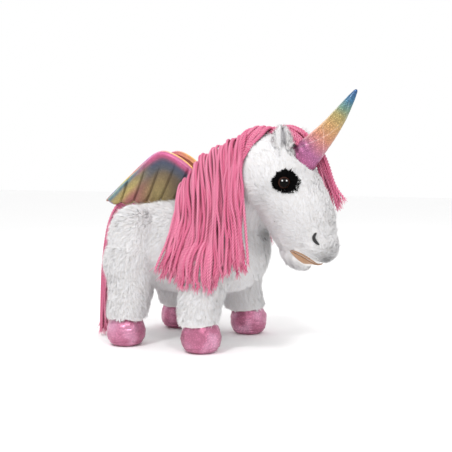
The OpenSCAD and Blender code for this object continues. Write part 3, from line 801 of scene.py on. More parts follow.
EAR_SHELLS = {}
for side in SIDES:
    v, f = ear_leaf(side, 0.0)
    shell = new_object(f"ear_{side}_cloth", v, f, BACKING)
    EAR_SHELLS[side] = shell
    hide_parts(f"ear_{side}_outer")
    v, f = ear_leaf(side, 1.5 * MM)
    inner = new_object(f"ear_{side}_satin", v, f, SATIN)
    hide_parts(f"ear_{side}_lining")
    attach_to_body(inner, f"ear_{side}")


# ---------------------------------------------------------------- pile

rng = np.random.default_rng(7)
MAX_BLADES = 64000
HOOF_TOP = LIMBS["front_right"]["cuff"][2]


def grow(label, root, normal, flow, length, width, attach, materials=WHITE, **style):
    """Grows pile and splits it into pieces of a moderate size."""
    parts = max(1, math.ceil(len(root) / MAX_BLADES))
    order = rng.permutation(len(root))
    for k, index in enumerate(np.array_split(order, parts)):
        name = f"{label}_pile" if parts == 1 else f"{label}_pile_{k + 1}"
        piece = blades(name, root[index], normal[index], flow[index], length[index],
                       width, materials, rng, **style)
        attach(piece)


def body_flow(p):
    """Which way the pile lies: back along the body and down the flanks and legs."""
    low = smoothstep(118 * MM, 78 * MM, p[:, 2])[:, None]
    front = smoothstep(10 * MM, 45 * MM, p[:, 0])[:, None]
    flank = np.array([[-0.55, 0, -0.85]])
    flow = mix(np.tile(flank, (len(p), 1)), np.array([[-0.1, 0, -1.0]]), np.maximum(low, front))
    top = smoothstep(150 * MM, 162 * MM, p[:, 2])[:, None]
    flow = mix(flow, np.array([[-1.0, 0, -0.1]]), top * (1 - front))
    return flow + 0.35 * noise_vector(p, 22 * MM, 3)


for part in ["torso", "neck", *LIMBS]:
    cloth = bpy.data.objects[f"{part_name(part)}_cloth"]
    root, normal = scatter(cloth, {"torso": 2.0, "neck": 1.5}.get(part, 2.2), rng)
    if part == "neck":
        keep = np.linalg.norm(root - HEAD, axis=1) > HEAD_R - 4 * MM
        root, normal = root[keep], normal[keep]
    if part in LIMBS:
        keep = root[:, 2] > HOOF_TOP + (1.2 + 1.0 * value_noise(root, 5 * MM, 13)) * MM
        root, normal = root[keep], normal[keep]
    length = 8.6 * MM * (1 + 0.18 * value_noise(root, 16 * MM, 11))
    low = smoothstep(80 * MM, 50 * MM, root[:, 2])
    length = mix(length, 6.6 * MM, low)
    tuft = smoothstep(HOOF_TOP + 12 * MM, HOOF_TOP + 3 * MM, root[:, 2])
    length = length * (1 + (-0.1 + 0.35 * value_noise(root, 6 * MM, 12)) * tuft)
    grow(part_name(part), root, normal, body_flow(root), length, 0.75 * MM,
         lambda piece, part=part: settle(piece, part))


def head_flow(p):
    """Which way the pile lies on the head: back from the nose, down the cheeks, forward under the chin."""
    q = (p - HEAD) / MM
    back = np.tile(-FACE, (len(p), 1))
    jaw = smoothstep(8, -30, q[:, 2] * 0.55 + q[:, 0] * 0.85)[:, None]
    cheek = np.array([[-0.35, 0, -0.95]])
    chin = (smoothstep(-82, -95, q[:, 2]) * smoothstep(60, 30, q[:, 0]))[:, None]
    flow = mix(back, cheek, jaw * 0.75)
    flow = mix(flow, np.array([[0.45, 0, -0.9]]), chin)
    return flow + 0.4 * noise_vector(p, 15 * MM, 9)


root, normal = scatter(head, 2.8, rng)
q = (root - HEAD) / MM
keep = np.ones(len(root), bool)
for side in SIDES:
    keep &= ~on_patch(root, side)
mouth = (root - MOUTH) @ MOUTH_UP / MM
ahead = (root - MOUTH) @ MOUTH_AHEAD / MM
keep &= ~((np.abs(mouth) < 7.2) & (ahead > -8))
gap = np.min(np.linalg.norm(root[:, None] - NOSTRIL_POINTS[None, ::6], axis=2), axis=1)
keep &= gap > 2.6 * MM
along, from_axis = from_horn(root)
from_axis = np.where(along > 20 * MM, from_axis, 1.0)
keep &= from_axis > 15 * MM
root, normal, q, gap, from_axis = root[keep], normal[keep], q[keep], gap[keep], from_axis[keep]
along = (root - HEAD) @ FACE / MM
length = mix(7.5, 9.5, smoothstep(20, -20, q[:, 0] * 0.86 + q[:, 2] * 0.5))
length = mix(length, 5.2, smoothstep(10, 34, along + 0.55 * q[:, 0]))
length = mix(length, 7.6, smoothstep(-78, -92, q[:, 2]))
lip_gap = np.where(ahead[keep] > -10, np.abs(mouth[keep]), 20)
length = length * mix(0.6, 1.0, smoothstep(7, 13, lip_gap))
for side in SIDES:
    near = np.linalg.norm(root - (HEAD + EYES[side] * HEAD_R), axis=1) / MM
    length = length * mix(0.55, 1.0, smoothstep(13, 22, near))
length = length * mix(0.55, 1.0, smoothstep(3 * MM, 8 * MM, gap))
length = length * mix(0.45, 1.0, smoothstep(18 * MM, 30 * MM, from_axis)) * MM
length *= 1 + 0.18 * value_noise(root, 9 * MM, 21)


def join_head(piece):
    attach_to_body(piece, "head")


grow("head", root, normal, head_flow(root), length, 0.72 * MM, join_head)

for side in SIDES:
    def join_patch(piece, side=side):
        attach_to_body(piece, "head")

    cloth = bpy.data.objects[f"eye_patch_{side}_cloth"]
    root, normal = scatter(cloth, 3.2, rng)
    way = EYES[side]
    q = root - (HEAD + way * HEAD_R)
    keep = np.linalg.norm(root - (HEAD + way * EYE_OUT * MM), axis=1) > 7.1 * MM
    root, normal, q = root[keep], normal[keep], q[keep]
    flow = q - (q @ way)[:, None] * way
    length = 3.6 * MM * (1 + 0.3 * value_noise(root, 4 * MM, 31))
    flow = unit(flow) + 0.8 * noise_vector(root, 5 * MM, 8)
    grow(f"eye_patch_{side}", root, normal, flow, length, 0.8 * MM, join_patch, [PATCH],
         lean=(28, 58), clump=0.5, clump_size=9)
    # Longer hairs that stand as lashes above and in front of the eye.
    lash_root, lash_flow = [], []
    front = unit(np.array([0.9, SIDES[side] * 0.25, 0.1]))
    for angle, count in ((52, 26), (78, 16), (12, 22), (-8, 14)):
        a = math.radians(angle)
        rise = np.array([0, 0, 1]) * math.sin(a)
        place = HEAD + way * HEAD_R + (front * math.cos(a) * 13.5 + rise * 10.0) * MM
        lash_root.append(place + rng.normal(0, 1.1 * MM, (count, 3)))
        lash_flow.append(np.tile(front * math.cos(a) + rise, (count, 1)))
    lash_root, lash_flow = np.vstack(lash_root), np.vstack(lash_flow)
    found = [HEAD_TREE.find_nearest(Vector(p)) for p in lash_root]
    lash_root = np.array([tuple(f[0]) for f in found])
    lash_normal = np.array([tuple(f[1]) for f in found])
    grow(f"eye_lash_{side}", lash_root, lash_normal, lash_flow, np.full(len(lash_root), 7.5 * MM),
         0.8 * MM, join_patch, [PATCH], lean=(35, 60), clump=0.7, clump_size=12, stray=8)

for side in SIDES:
    shell = EAR_SHELLS[side]
    centre, up, _, _ = ear_frame(side)
    root, normal = scatter(shell, 3.2, rng)
    outward = np.sign(((root - centre - up * ((root - centre) @ up)[:, None]) * normal).sum(1))
    normal = normal * np.where(outward == 0, 1, outward)[:, None]
    height = (root - centre) @ up / MM
    length = mix(8.0, 7.0, smoothstep(0, 25, height)) * MM
    flow = np.tile(up, (len(root), 1)) + 0.6 * noise_vector(root, 7 * MM, 41)
    flow[height < 5] *= -1

    def join_ear(piece, side=side):
        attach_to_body(piece, f"ear_{side}")

    grow(f"ear_{side}", root, normal, flow, length, 0.6 * MM, join_ear, lean=(30, 52), clump=0.4)
    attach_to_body(shell, f"ear_{side}")


# ---------------------------------------------------------------- horn

def horn():
    """A bowed cone of foil cloth with fine light threads."""
    _, high = box("horn_cover")
    tip = np.array([high[0] - 2.5 * MM, 0, high[2] - 1.5 * MM])
    base = HORN_BASE + HORN_AIM * 3 * MM
    run = tip - base
    bow = np.array([run[2], 0, -run[0]]) / np.linalg.norm(run)
    path = [base - unit(run + bow * 0.1 * np.linalg.norm(run)) * 8 * MM] + [
        base + run * t + bow * 3.4 * MM * math.sin(math.pi * t) for t in (0, 0.17, 0.34, 0.5, 0.67, 0.84, 1)]
    steps, sides = 150, 128
    line = catmull(path, steps)
    t = np.linspace(-0.1, 1, steps)
    radius = np.interp(t, [-0.1, 0, 0.08, 0.33, 0.67, 0.9, 0.985, 1],
                       np.array([18.0, 18.2, 17.8, 13.2, 8.6, 4.2, 2.0, 0.8])) * MM
    tangent = unit(np.gradient(line, axis=0))
    side = np.tile([0.0, 1.0, 0.0], (steps, 1))
    v, f = loft(line, side, np.cross(tangent, side), radius, radius, sides)
    ring = np.repeat(np.arange(steps), sides)
    angle = np.tile(np.linspace(0, 2 * np.pi, sides, endpoint=False), steps)
    tt = t[ring]
    # The cloth puckers a little along its seam and round the base.
    dent = 0.35 * np.sin(angle * 3 + tt * 9) * (1 - tt) + 0.25 * np.sin(tt * 95 + angle * 2) * (1 - tt) ** 2
    dent -= 0.6 * np.exp(-((angle - 4.7 - 0.5 * np.sin(tt * 4)) / 0.07) ** 2)
    out = unit(v[:steps * sides] - line[ring])
    v[:steps * sides] += out * dent[:, None] * MM
    obj = new_object("horn_cloth", v, f, FOIL_HORN)
    where = np.append(tt, [t[0], 1.0])
    where = where + 0.025 * value_noise(v, 10 * MM, 51)
    turn = np.append(angle, [0, 0])
    thread = (np.exp(-(np.sin(turn + where * 7) / 0.05) ** 2)
              + np.exp(-(np.sin(turn * 1.5 - where * 5) / 0.06) ** 2))
    tone = bands([
        (0.0, (184, 92, 124)), (0.06, (164, 90, 128)), (0.2, (156, 94, 132)), (0.3, (176, 114, 120)),
        (0.4, (184, 128, 104)), (0.55, (180, 142, 98)), (0.68, (156, 142, 94)), (0.77, (102, 130, 114)),
        (0.86, (66, 108, 136)), (1.0, (46, 76, 122))], where)
    paint(obj, tone + 0.14 * thread[:, None] * (1 - tone))
    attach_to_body(obj, "head")
    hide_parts("horn_cover", "horn_stuffing")


horn()


# ---------------------------------------------------------------- hooves

def hoof(key):
    """A wrinkled glitter boot with a flat sole and a seam above it."""
    leg = LIMBS[key]
    middle, r, top = leg["hoof"], leg["hoof_r"], leg["cuff"][2]
    steps, sides = 72, 96
    # The outline from the sole up: height out of 33, and share of the hoof's radius.
    bend = [(0.0, 0.30), (0.0, 0.54), (0.6, 0.66), (3.0, 0.81), (7.0, 0.93), (12, 0.99),
            (17, 1.0), (22, 0.975), (28, 0.88), (33, 0.74)]
    radius = catmull(np.array([[b[1]] for b in bend]), steps)[:, 0] * r
    z = catmull(np.array([[b[0]] for b in bend]), steps)[:, 0] / 33 * top
    z = np.maximum(z, 0.0)
    line = np.stack([np.full(steps, middle[0]), np.full(steps, middle[1]), z], -1)
    flat = np.tile([1.0, 0, 0], (steps, 1))
    v, f = loft(line, flat, np.tile([0.0, 1.0, 0], (steps, 1)), radius, radius, sides)
    n = steps * sides
    angle = np.tile(np.linspace(0, 2 * np.pi, sides, endpoint=False), steps)
    height = np.repeat(z, sides) / top
    seed = list(LIMBS).index(key)
    spot = np.stack([np.cos(angle), np.sin(angle), height * 1.6], -1)
    wrinkle = 0.9 * value_noise(spot, 0.5, 60 + seed) + 0.5 * value_noise(spot * [1, 1, 2.2], 0.22, 70 + seed)
    wrinkle *= smoothstep(0.02, 0.25, height)
    seam = -1.0 * np.exp(-((height - 0.17) / 0.018) ** 2)
    out = np.stack([np.cos(angle), np.sin(angle), np.zeros(n)], -1)
    v[:n] += out * ((wrinkle + seam) * MM)[:, None]
    obj = new_object(f"hoof_{key}_cloth", v, f, GLITTER_HOOF)
    # Random mottling of the glitter cloth; its lightest patches are painted highlights.
    shade = np.append(value_noise(v[:n], 9 * MM, 80 + seed), [0, 0])
    paint(obj, bands([(-1, (156, 88, 114)), (0, (178, 108, 136)), (1, (212, 154, 182))], shade))
    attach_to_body(obj, "leg_" + key)
    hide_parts(f"hoof_{key}_cover", f"hoof_{key}_filling")


for key in LIMBS:
    hoof(key)


# ---------------------------------------------------------------- wings

WING_OUT = [
    (0.0, (190, 110, 146)), (0.05, (196, 98, 142)), (0.14, (172, 84, 118)), (0.22, (104, 78, 98)),
    (0.30, (72, 78, 96)), (0.46, (82, 84, 90)), (0.6, (112, 98, 78)), (0.8, (134, 116, 80)),
    (1.0, (138, 122, 82))]
WING_TIP = [
    (0.0, (196, 190, 90)), (0.08, (120, 150, 150)), (0.2, (104, 122, 128)), (0.34, (150, 136, 96)),
    (0.6, (170, 152, 96)), (0.85, (160, 118, 96)), (1.0, (150, 96, 92))]
WING_IN = [
    (0.0, (206, 166, 104)), (0.15, (200, 136, 96)), (0.3, (184, 92, 106)), (0.5, (160, 84, 138)),
    (0.8, (90, 102, 150)), (1.0, (68, 92, 146))]


def wing_bow(a):
    """How far the panel bows outwards at the share a of the way from front to tip."""
    return (6 * np.sin(np.pi * a) - 4 * a) * MM


def wing(side):
    """Two padded foil cloths with stitched channels, and the bound edge round them."""
    sign = SIDES[side]
    low, high = box(f"wing_{side}_outer_cloth")
    bead = JOINT[f"wing_{side}_flap"]
    root_z, rise = bead[2], high[2] - bead[2]
    tip_x, front_x = low[0] - 2 * MM, high[0] + 12 * MM
    span = front_x - tip_x
    lean = math.radians(2)
    upper = catmull([(0, 0.50), (0.03, 0.68), (0.10, 0.82), (0.2, 0.95), (0.31, 1.03), (0.40, 1.0),
                     (0.5, 0.88), (0.64, 0.66), (0.8, 0.40), (0.92, 0.19), (0.985, 0.07), (1.0, 0.0)], 260)
    steps_a, steps_b = 190, 84
    a = np.linspace(0, 1, steps_a)
    top = np.interp(a, upper[:, 0], upper[:, 1]) * rise
    feathers = 7
    arc = np.abs(np.sin(np.pi * (a * feathers + 0.15)))
    bottom = -2.0 * MM + (1 - arc) * 3.6 * MM * smoothstep(0.02, 0.2, a)
    bottom = np.where(a > 0.94, bottom + ((a - 0.94) / 0.06) ** 2 * 1.5 * MM, bottom)
    top = np.maximum(top, bottom + 1.5 * MM)
    b = (1 - np.cos(np.linspace(0, np.pi, steps_b))) / 2
    A, B = np.meshgrid(a, b, indexing="ij")
    height = bottom[:, None] + (top - bottom)[:, None] * B
    length = A * span
    # Stitched lines fan out from the front of the upper edge to the notches between the feather tips.
    crease = np.zeros_like(A)
    swell = np.zeros_like(A)
    for k in range(1, feathers):
        notch = (k - 0.15) / feathers
        fan = np.clip(height / rise, 0, 1)
        line = notch * span - (fan ** 0.9) * (0.50 - 0.22 * notch) * span * 0.62
        reach = smoothstep(0.92 - 0.28 * abs(notch - 0.35), 0.55 - 0.2 * abs(notch - 0.35), fan)
        d = (length - line) / MM
        crease += reach * np.exp(-(d / 1.3) ** 2)
        swell += reach * np.exp(-((d + 5.5) / 4.5) ** 2)
    edge = np.minimum(np.minimum(height - bottom[:, None], top[:, None] - height),
                      np.minimum(length, span - length) + 1.2 * MM)
    round_off = np.sqrt(np.clip(edge / (3.4 * MM), 0, 1))
    lead = np.exp(-((top[:, None] - height - 3.2 * MM) / (2.6 * MM)) ** 2)
    half = (2.6 + 1.3 * lead + 0.75 * swell - 1.9 * crease) * MM * round_off
    flat = np.stack([length.ravel(), height.ravel(), 0 * length.ravel()], -1)
    half += 0.25 * MM * value_noise(flat, 7 * MM, 90).reshape(A.shape) * round_off
    half = np.maximum(half, 0.35 * MM * round_off)
    bow = wing_bow(A)

    def place(offset):
        y = offset + bow * (height / rise).clip(0, 1)
        x = front_x - length
        lean_y = sign * (abs(bead[1]) + height * math.sin(lean)) + sign * y
        return np.stack([x, lean_y, root_z + height * math.cos(lean)], -1).reshape(-1, 3)

    outer, inner = place(half), place(-half)
    quads = [(i * steps_b + j, (i + 1) * steps_b + j, (i + 1) * steps_b + j + 1, i * steps_b + j + 1)
             for i in range(steps_a - 1) for j in range(steps_b - 1)]
    turned = [q[::-1] for q in quads]
    outer_faces, inner_faces = (turned, quads) if sign > 0 else (quads, turned)
    share = ((top[:, None] - height) / rise).ravel()
    along = A.ravel()
    wobble = 0.03 * value_noise(outer, 12 * MM, 91)
    body_tone = bands(WING_OUT, np.clip(share * 1.35 + wobble - 0.10 * smoothstep(0.35, 0.0, along), 0, 1))
    tip_tone = bands(WING_TIP, np.clip(share * 2.2 + wobble, 0, 1))
    tone = mix(body_tone, tip_tone, smoothstep(0.42, 0.72, along)[:, None])
    # Painted shade: the lower front of the outer cloth, beside the mane, is darkened.
    front_shade = (smoothstep(0.42, 0.12, along) * smoothstep(0.25, 0.6, share))[:, None]
    tone = mix(tone, np.array([linear(62, 50, 50)]), front_shade * 0.8)
    # Painted shade in the stitched channels, weaker inside the painted front shade.
    tone = tone * (1 - 0.45 * crease.ravel()[:, None] * (1 - 0.4 * front_shade))
    far = bands(WING_IN, np.clip(share * 0.5 + along * 0.75 + wobble, 0, 1))
    # Painted shade in the stitched channels of the inner cloth.
    far = far * (1 - 0.35 * crease.ravel()[:, None])
    for label, verts_of, faces, colours, node in (("outer", outer, outer_faces, tone, "outer_cloth"),
                                                  ("inner", inner, inner_faces, far, "inner_cloth")):
        obj = new_object(f"wing_{side}_{label}", verts_of, faces, FOIL_WING)
        uv = np.stack([A.ravel(), B.ravel()], -1) * 0.96 + 0.02
        give_uv(obj, uv)
        paint(obj, colours)
        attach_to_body(obj, f"wing_{side}")
        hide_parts(f"wing_{side}_{node}", f"wing_{side}_wadding")
    # The bound edge runs all round the panel and hides the joint between the two cloths.
    rim = np.vstack([np.stack([front_x - a * span, top], -1),
                     np.stack([front_x - a[::-1] * span, bottom[::-1]], -1)])
    rim = np.vstack([rim, rim[:1]])
    seg = np.linalg.norm(np.diff(rim, axis=0), axis=1)
    s = np.concatenate([[0], np.cumsum(seg)])
    even = np.linspace(0, s[-1], 420)
    rx, rz = np.interp(even, s, rim[:, 0]), np.interp(even, s, rim[:, 1])
    ra = (front_x - rx) / span
    rbow = wing_bow(ra) * np.clip(rz / rise, 0, 1)
    line = np.stack([rx, sign * (abs(bead[1]) + rz * math.sin(lean) + rbow),
                     root_z + rz * math.cos(lean)], -1)
    tangent = unit(np.gradient(line, axis=0))
    wide = np.tile([0.0, 1.0, 0.0], (len(line), 1))
    thick = np.full(len(line), 0.95 * MM)
    v, f = loft(line, wide, np.cross(tangent, wide), thick, thick, 10)
    binding = new_object(f"wing_{side}_binding", v, f, FOIL_WING)
    ring = np.append(np.repeat(np.arange(len(line)), 10), [0, len(line) - 1])
    colours = bands([(0, (232, 178, 110)), (0.2, (236, 190, 120)), (0.36, (226, 170, 190)),
                     (0.5, (186, 140, 190)), (0.66, (210, 96, 110)), (0.78, (214, 196, 92)),
                     (0.9, (92, 120, 180)), (1.0, (170, 110, 110))], ra[ring])
    upper_side = (ring < len(line) * 0.52)[:, None]
    paint(binding, np.where(upper_side, colours, np.array([linear(140, 120, 84)])))
    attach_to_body(binding, f"wing_{side}")
    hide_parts(f"wing_{side}_piping")


for side in SIDES:
    wing(side)


# ---------------------------------------------------------------- yarn

YARN_R = 1.5 * MM
RING_STEP = 1.7 * MM
PLY_PITCH = 11 * MM
LOOSE_FIBRES = 9
MAX_YARN_TRIANGLES = 180000


def tube_rings(line, radius, angle, side, up):
    """A ring of points round each point of a line."""
    return (line[:, None] + (np.cos(angle) * radius)[..., None] * side
            + (np.sin(angle) * radius)[..., None] * up).reshape(-1, 3)


def tube_quads(rings, sides):
    """Four-cornered faces between neighbouring rings."""
    i, k = np.meshgrid(np.arange(rings - 1), np.arange(sides), indexing="ij")
    q = (k + 1) % sides
    quads = np.stack([i * sides + k, i * sides + q, (i + 1) * sides + q, (i + 1) * sides + k], -1)
    return quads.reshape(-1, 4)


def strand(path, rng):
    """One twisted cord of three plies along a path, with loose fibres at its cut end.

    Gives the points, the faces, and which faces lie in a groove between plies; these take the painted shade.
    """
    seg = np.linalg.norm(np.diff(path, axis=0), axis=1)
    s = np.concatenate([[0], np.cumsum(seg)])
    count = max(int(s[-1] / RING_STEP), 8)
    even = np.linspace(0, s[-1], count)
    line = np.stack([np.interp(even, s, path[:, k]) for k in range(3)], -1)
    tangent = unit(np.gradient(line, axis=0))
    side = unit(np.cross(tangent, np.array([0.31, 0.17, 0.93]) + 0.01))
    for i in range(1, count):
        carried = side[i - 1] - tangent[i] * (side[i - 1] @ tangent[i])
        side[i] = carried / max(np.linalg.norm(carried), 1e-9)
    up = np.cross(tangent, side)
    sides = 9
    angle = np.linspace(0, 2 * np.pi, sides, endpoint=False)[None]
    twist = (even / PLY_PITCH * 2 * np.pi + rng.random() * 6)[:, None]
    r = YARN_R * (1.02 + 0.26 * np.cos(3 * angle)) * np.ones((count, 1))
    r[-1] *= 0.6
    verts = [tube_rings(line, r, angle + twist, side[:, None], up[:, None])]
    quads = [tube_quads(count, sides)]
    groove = [np.tile(np.arange(sides) % 3 == 1, count - 1)]
    base = count * sides
    end, way = line[-1], unit(tangent[-3:].mean(0))
    for _ in range(LOOSE_FIBRES):
        lean = rng.normal(0, 0.30, 2)
        out = unit(way + side[-1] * lean[0] + up[-1] * lean[1])
        length = rng.uniform(3.0, 7.5) * MM
        start = end - way * 1.5 * MM + (side[-1] * lean[0] + up[-1] * lean[1]) * 2.2 * MM
        t = np.linspace(0, 1, 4)[:, None]
        fibre = start + out * length * t + np.array([0, 0, -1.0]) * length * 0.15 * t**2
        thin = 0.42 * MM * (1 - 0.6 * t)
        third = np.linspace(0, 2 * np.pi, 3, endpoint=False)[None]
        verts.append(tube_rings(fibre, thin, third, side[-1], up[-1]))
        quads.append(base + tube_quads(4, 3))
        groove.append(np.zeros(9, bool))
        base += 12
    return np.vstack(verts), np.vstack(quads), np.concatenate(groove)


def bundle(label, paths, rng, attach):
    """Strands joined into pieces of a moderate size; gives the first piece."""
    done = [strand(p, rng) for p in paths]
    size = sum(len(q) * 2 for _, q, _ in done)
    parts = max(1, math.ceil(size / MAX_YARN_TRIANGLES))
    for k in range(parts):
        mine = done[k::parts]
        verts, quads, shade, base = [], [], [], 0
        for v, q, groove in mine:
            verts.append(v)
            quads.append(q + base)
            # Faces in the grooves get the darker pink: painted shade between the plies.
            shade.append(np.where(groove, 3, rng.integers(0, 3)))
            base += len(v)
        quads = np.vstack(quads)
        name = label if parts == 1 else f"{label}_{k + 1}"
        obj = raw_mesh(name, np.vstack(verts), quads.ravel(), np.full(len(quads), 4), None,
                       PINKS, np.concatenate(shade))
        attach(obj)
        if k == 0:
            first = obj
    return first


def wander(path, size, rng):
    """Slow sideways waves along a strand that grow towards its free end."""
    n = len(path)
    t = np.linspace(0, 1, n)
    phase, pace = rng.random(3) * 6.3, rng.uniform(1.2, 2.6, 3)
    wave = np.stack([np.sin(2 * np.pi * pace[k] * t + phase[k]) - math.sin(phase[k]) for k in range(3)], -1)
    return path + wave * size * (0.25 + t[:, None])


def mane_strands(sign, rng):
    """Strands in three layers, from the crest out over the shoulder and down one side."""
    paths = []
    crest = catmull([(-34, 172), (-26, 187), (-12, 203), (4, 215), (22, 228), (44, 238)], 200) * MM
    for layer, count in ((0, 38), (0.5, 34), (1, 38)):
        for i in range(count):
            u = np.clip((i + 0.5 + rng.uniform(-0.45, 0.45)) / count, 0, 1)
            x0, z0 = crest[int(u * 199)]
            up = np.array([-0.72, 0, 0.69])
            lift = (5 + 10 * layer) * mix(1.0, 0.45, smoothstep(0.45, 1.0, u)) + rng.uniform(-1, 1.5)
            xm = mix(-42, 45 if sign < 0 else 12, u**0.85)
            xe = mix(-52, 57 if sign < 0 else 6, u)
            ze = mix(90, 74, u * 2) if u < 0.5 else mix(74, 103, u * 2 - 1)
            ze = ze + rng.uniform(-7, 11) + 2 * (1 - layer)
            side_out = mix(0, 5, layer)
            root = np.array([x0 / MM, sign * rng.uniform(0.5, 4), z0 / MM])
            over = np.array([mix(0, xm - root[0], 0.45), sign * (34 + side_out), -12])
            shoulder = root + up * lift * 0.55 + over
            points = [
                root - up * 2,
                root + up * lift * 0.8 + np.array([0, sign * (5 + 3 * layer), 0]),
                root + up * lift + np.array([mix(0, xm - root[0], 0.15), sign * (17 + side_out * 0.6), 1]),
                shoulder,
                np.array([mix(shoulder[0], xm, 0.7), sign * (48 + side_out), mix(shoulder[2], ze, 0.35)]),
                np.array([mix(xm, xe, 0.3), sign * (57 + side_out), mix(shoulder[2], ze, 0.62)]),
                np.array([xe, sign * (65 + side_out), ze]),
            ]
            path = catmull(np.array(points) * MM, 70)
            path = wander(path, 2.0 * MM, rng)
            path = push_out(path, (BODY_TREE, HEAD_TREE), (4.5 + 3.2 * layer + rng.uniform(0, 1.2)) * MM)
            path[1:-1] = (path[:-2] + 2 * path[1:-1] + path[2:]) / 4
            paths.append(path)
    return paths


yarn_rng = np.random.default_rng(21)
for side in SIDES:
    made = bundle(f"mane_{side}_yarn", mane_strands(SIDES[side], yarn_rng), yarn_rng,
                  lambda o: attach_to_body(o, "neck"))
    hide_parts(f"mane_{side}")
    if side == "right":
        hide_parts("mane_tape")


def crown_strands(rng):
    """Strands sewn to the top of the head that fall back behind the ears."""
    paths = []
    for sign in (-1, 1):
        for i in range(12):
            u = (i + rng.uniform(0.1, 0.9)) / 12
            x0 = mix(-22, 4, u)
            points = [
                at_head(x0, sign * 1.5, 43),
                at_head(x0 - 3, sign * 8, 56 - 4 * abs(u - 0.5)),
                at_head(x0 - 8, sign * 20, 51 - 3 * u),
                at_head(mix(-36, -14, u), sign * 37, 31),
                at_head(mix(-40, -22, u), sign * 49, 6),
                at_head(mix(-38, -24, u), sign * 54, -24),
                at_head(mix(-32, -16, u), sign * 59, -62 + rng.uniform(-18, 10)),
            ]
            path = wander(catmull(points, 60), 1.0 * MM, rng)
            path = push_out(path, (HEAD_TREE, BODY_TREE), (4 + 2.5 * rng.random()) * MM)
            paths.append(path)
    return paths


def forelock_strands(rng):
    """Strands from between the ears.

    Some end behind the horn, and the others hang down the left side of the face.
    """
    paths = []
    for i in range(14):
        u = (i + 0.5) / 14
        off = rng.uniform(-1, 1, 3)
        layer = i % 2
        y = -15 + 27 * u
        points = [
            at_head(-8 + 3 * off[0], 0.6 * y, 44),
            at_head(3, 0.85 * y, 54 + 2 * layer - abs(y) * 0.25),
            at_head(16, y, 52 + 2 * layer - abs(y) * 0.4),
            at_head(28, y + 3, 44 + 2 * layer - abs(y) * 0.4),
            at_head(36, y + 5, 34),
        ]
        path = catmull(points, 40)
        paths.append(push_out(path, (HEAD_TREE,), (3.2 + 2.2 * layer + rng.random()) * MM))
    for i in range(12):
        u = (i // 2 + 0.5) / 6
        layer = i % 2
        y = 21.5 + 3.6 * layer
        off = rng.uniform(-1, 1, 3)
        points = [
            at_head(-6 + 3 * off[0], -4 + 12 * u, 45),
            at_head(8, 2 + 13 * u, 55 + 2 * layer),
            at_head(20 + 2 * u, 9 + 11 * u, 52 + 2 * u),
            at_head(mix(27, 35, u), y - 3, 44),
            at_head(mix(36, 48, u), y, 28),
            at_head(mix(42, 55, u), y, 13),
            at_head(mix(46, 61, u), y, -2),
            at_head(mix(51, 67, u) + off[0], y, -15),
            at_head(mix(56, 75, u) + 2 * off[0], y + 2 * off[1], mix(-38, -25, u) + 3 * off[2]),
        ]
        path = wander(catmull(points, 60), 0.6 * MM, rng)
        paths.append(push_out(path, (HEAD_TREE,), (1.8 + 0.6 * rng.random()) * MM))
    return paths


made = bundle("forelock_yarn", forelock_strands(yarn_rng), yarn_rng, lambda o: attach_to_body(o, "head"))
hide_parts("forelock")
bundle("crown_yarn", crown_strands(yarn_rng), yarn_rng, lambda o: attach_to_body(o, "head"))


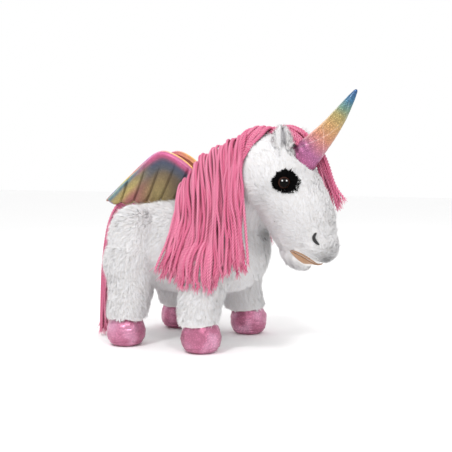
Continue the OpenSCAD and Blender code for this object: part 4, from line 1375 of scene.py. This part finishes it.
def tail_strands(rng):
    """Strands that rise from the root, turn over and hang behind the hind legs."""
    root = JOINT["tail_swing"] / MM
    low, _ = box("tail_strands")
    back = (low[0] / MM) + 5
    paths = []
    for i in range(24):
        a, r = i * 2.4, 8.5 * math.sqrt((i + 0.5) / 24)
        spread = np.array([math.cos(a), math.sin(a)]) * r
        ze = 6 + rng.uniform(0, 12)
        points = [
            root + np.array([2, 0.3 * spread[1], 3]),
            root + np.array([-12, 0.45 * spread[1], 10 + 0.3 * spread[0]]),
            np.array([mix(root[0], back, 0.75), -1 + 0.7 * spread[1], root[2] + 7 + 0.6 * spread[0]]),
            np.array([back + 1 - 0.8 * spread[0], -3 + spread[1], root[2] - 14]),
            np.array([back - 4 - spread[0], -8 + spread[1], 98]),
            np.array([back - 3 - spread[0], -15 + spread[1], 54]),
            np.array([back - 0.9 * spread[0], -22 + spread[1], ze]),
        ]
        path = wander(catmull(np.array(points) * MM, 70), 1.0 * MM, rng)
        paths.append(path)
    return paths


made = bundle("tail_yarn", tail_strands(yarn_rng), yarn_rng, lambda o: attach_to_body(o, "tail"))
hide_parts("tail_strands", "tail_root")


# ---------------------------------------------------------------- floor, light and camera

floor = new_object("floor", [(-4, -4, 0), (4, -4, 0), (4, 4, 0), (-4, 4, 0)], [(0, 1, 2, 3)],
                   plain("floor_white", linear(250, 250, 250), 0.9, 0.1), smooth=False)

world = bpy.data.worlds.new("studio")
bpy.context.scene.world = world
world.use_nodes = True
world.node_tree.nodes["Background"].inputs["Color"].default_value = (1, 1, 1, 1)
world.node_tree.nodes["Background"].inputs["Strength"].default_value = 1.0
bpy.context.scene.view_settings.view_transform = "Standard"


def soft_light(name, place, aim, size, power):
    """A square lamp aimed at a point."""
    data = bpy.data.lights.new(name, "AREA")
    data.shape = "SQUARE"
    data.size = size
    data.energy = power
    obj = bpy.data.objects.new(name, data)
    bpy.context.scene.collection.objects.link(obj)
    obj.location = place
    obj.rotation_euler = (Vector(aim) - Vector(place)).to_track_quat("-Z", "Y").to_euler()


CENTRE = np.array([0, 0, 137]) * MM
soft_light("key", (-0.1, -0.9, 1.25), CENTRE, 0.22, 7)
soft_light("front", (0.75, -0.85, 1.05), CENTRE, 0.16, 4)
soft_light("rear", (-1.0, 0.7, 0.9), CENTRE, 0.8, 3)

AZIMUTH, ELEVATION, DISTANCE = math.radians(25.7), math.radians(4.2), 1.1
back = np.array([math.sin(AZIMUTH) * math.cos(ELEVATION),
                 -math.cos(AZIMUTH) * math.cos(ELEVATION), math.sin(ELEVATION)])
camera = bpy.data.objects.new("camera", bpy.data.cameras.new("camera"))
bpy.context.scene.collection.objects.link(camera)
camera.location = CENTRE + back * DISTANCE
camera.rotation_euler = Vector(-back).to_track_quat("-Z", "Y").to_euler()
camera.data.lens = 74.9
camera.data.sensor_width = 36
bpy.context.scene.camera = camera
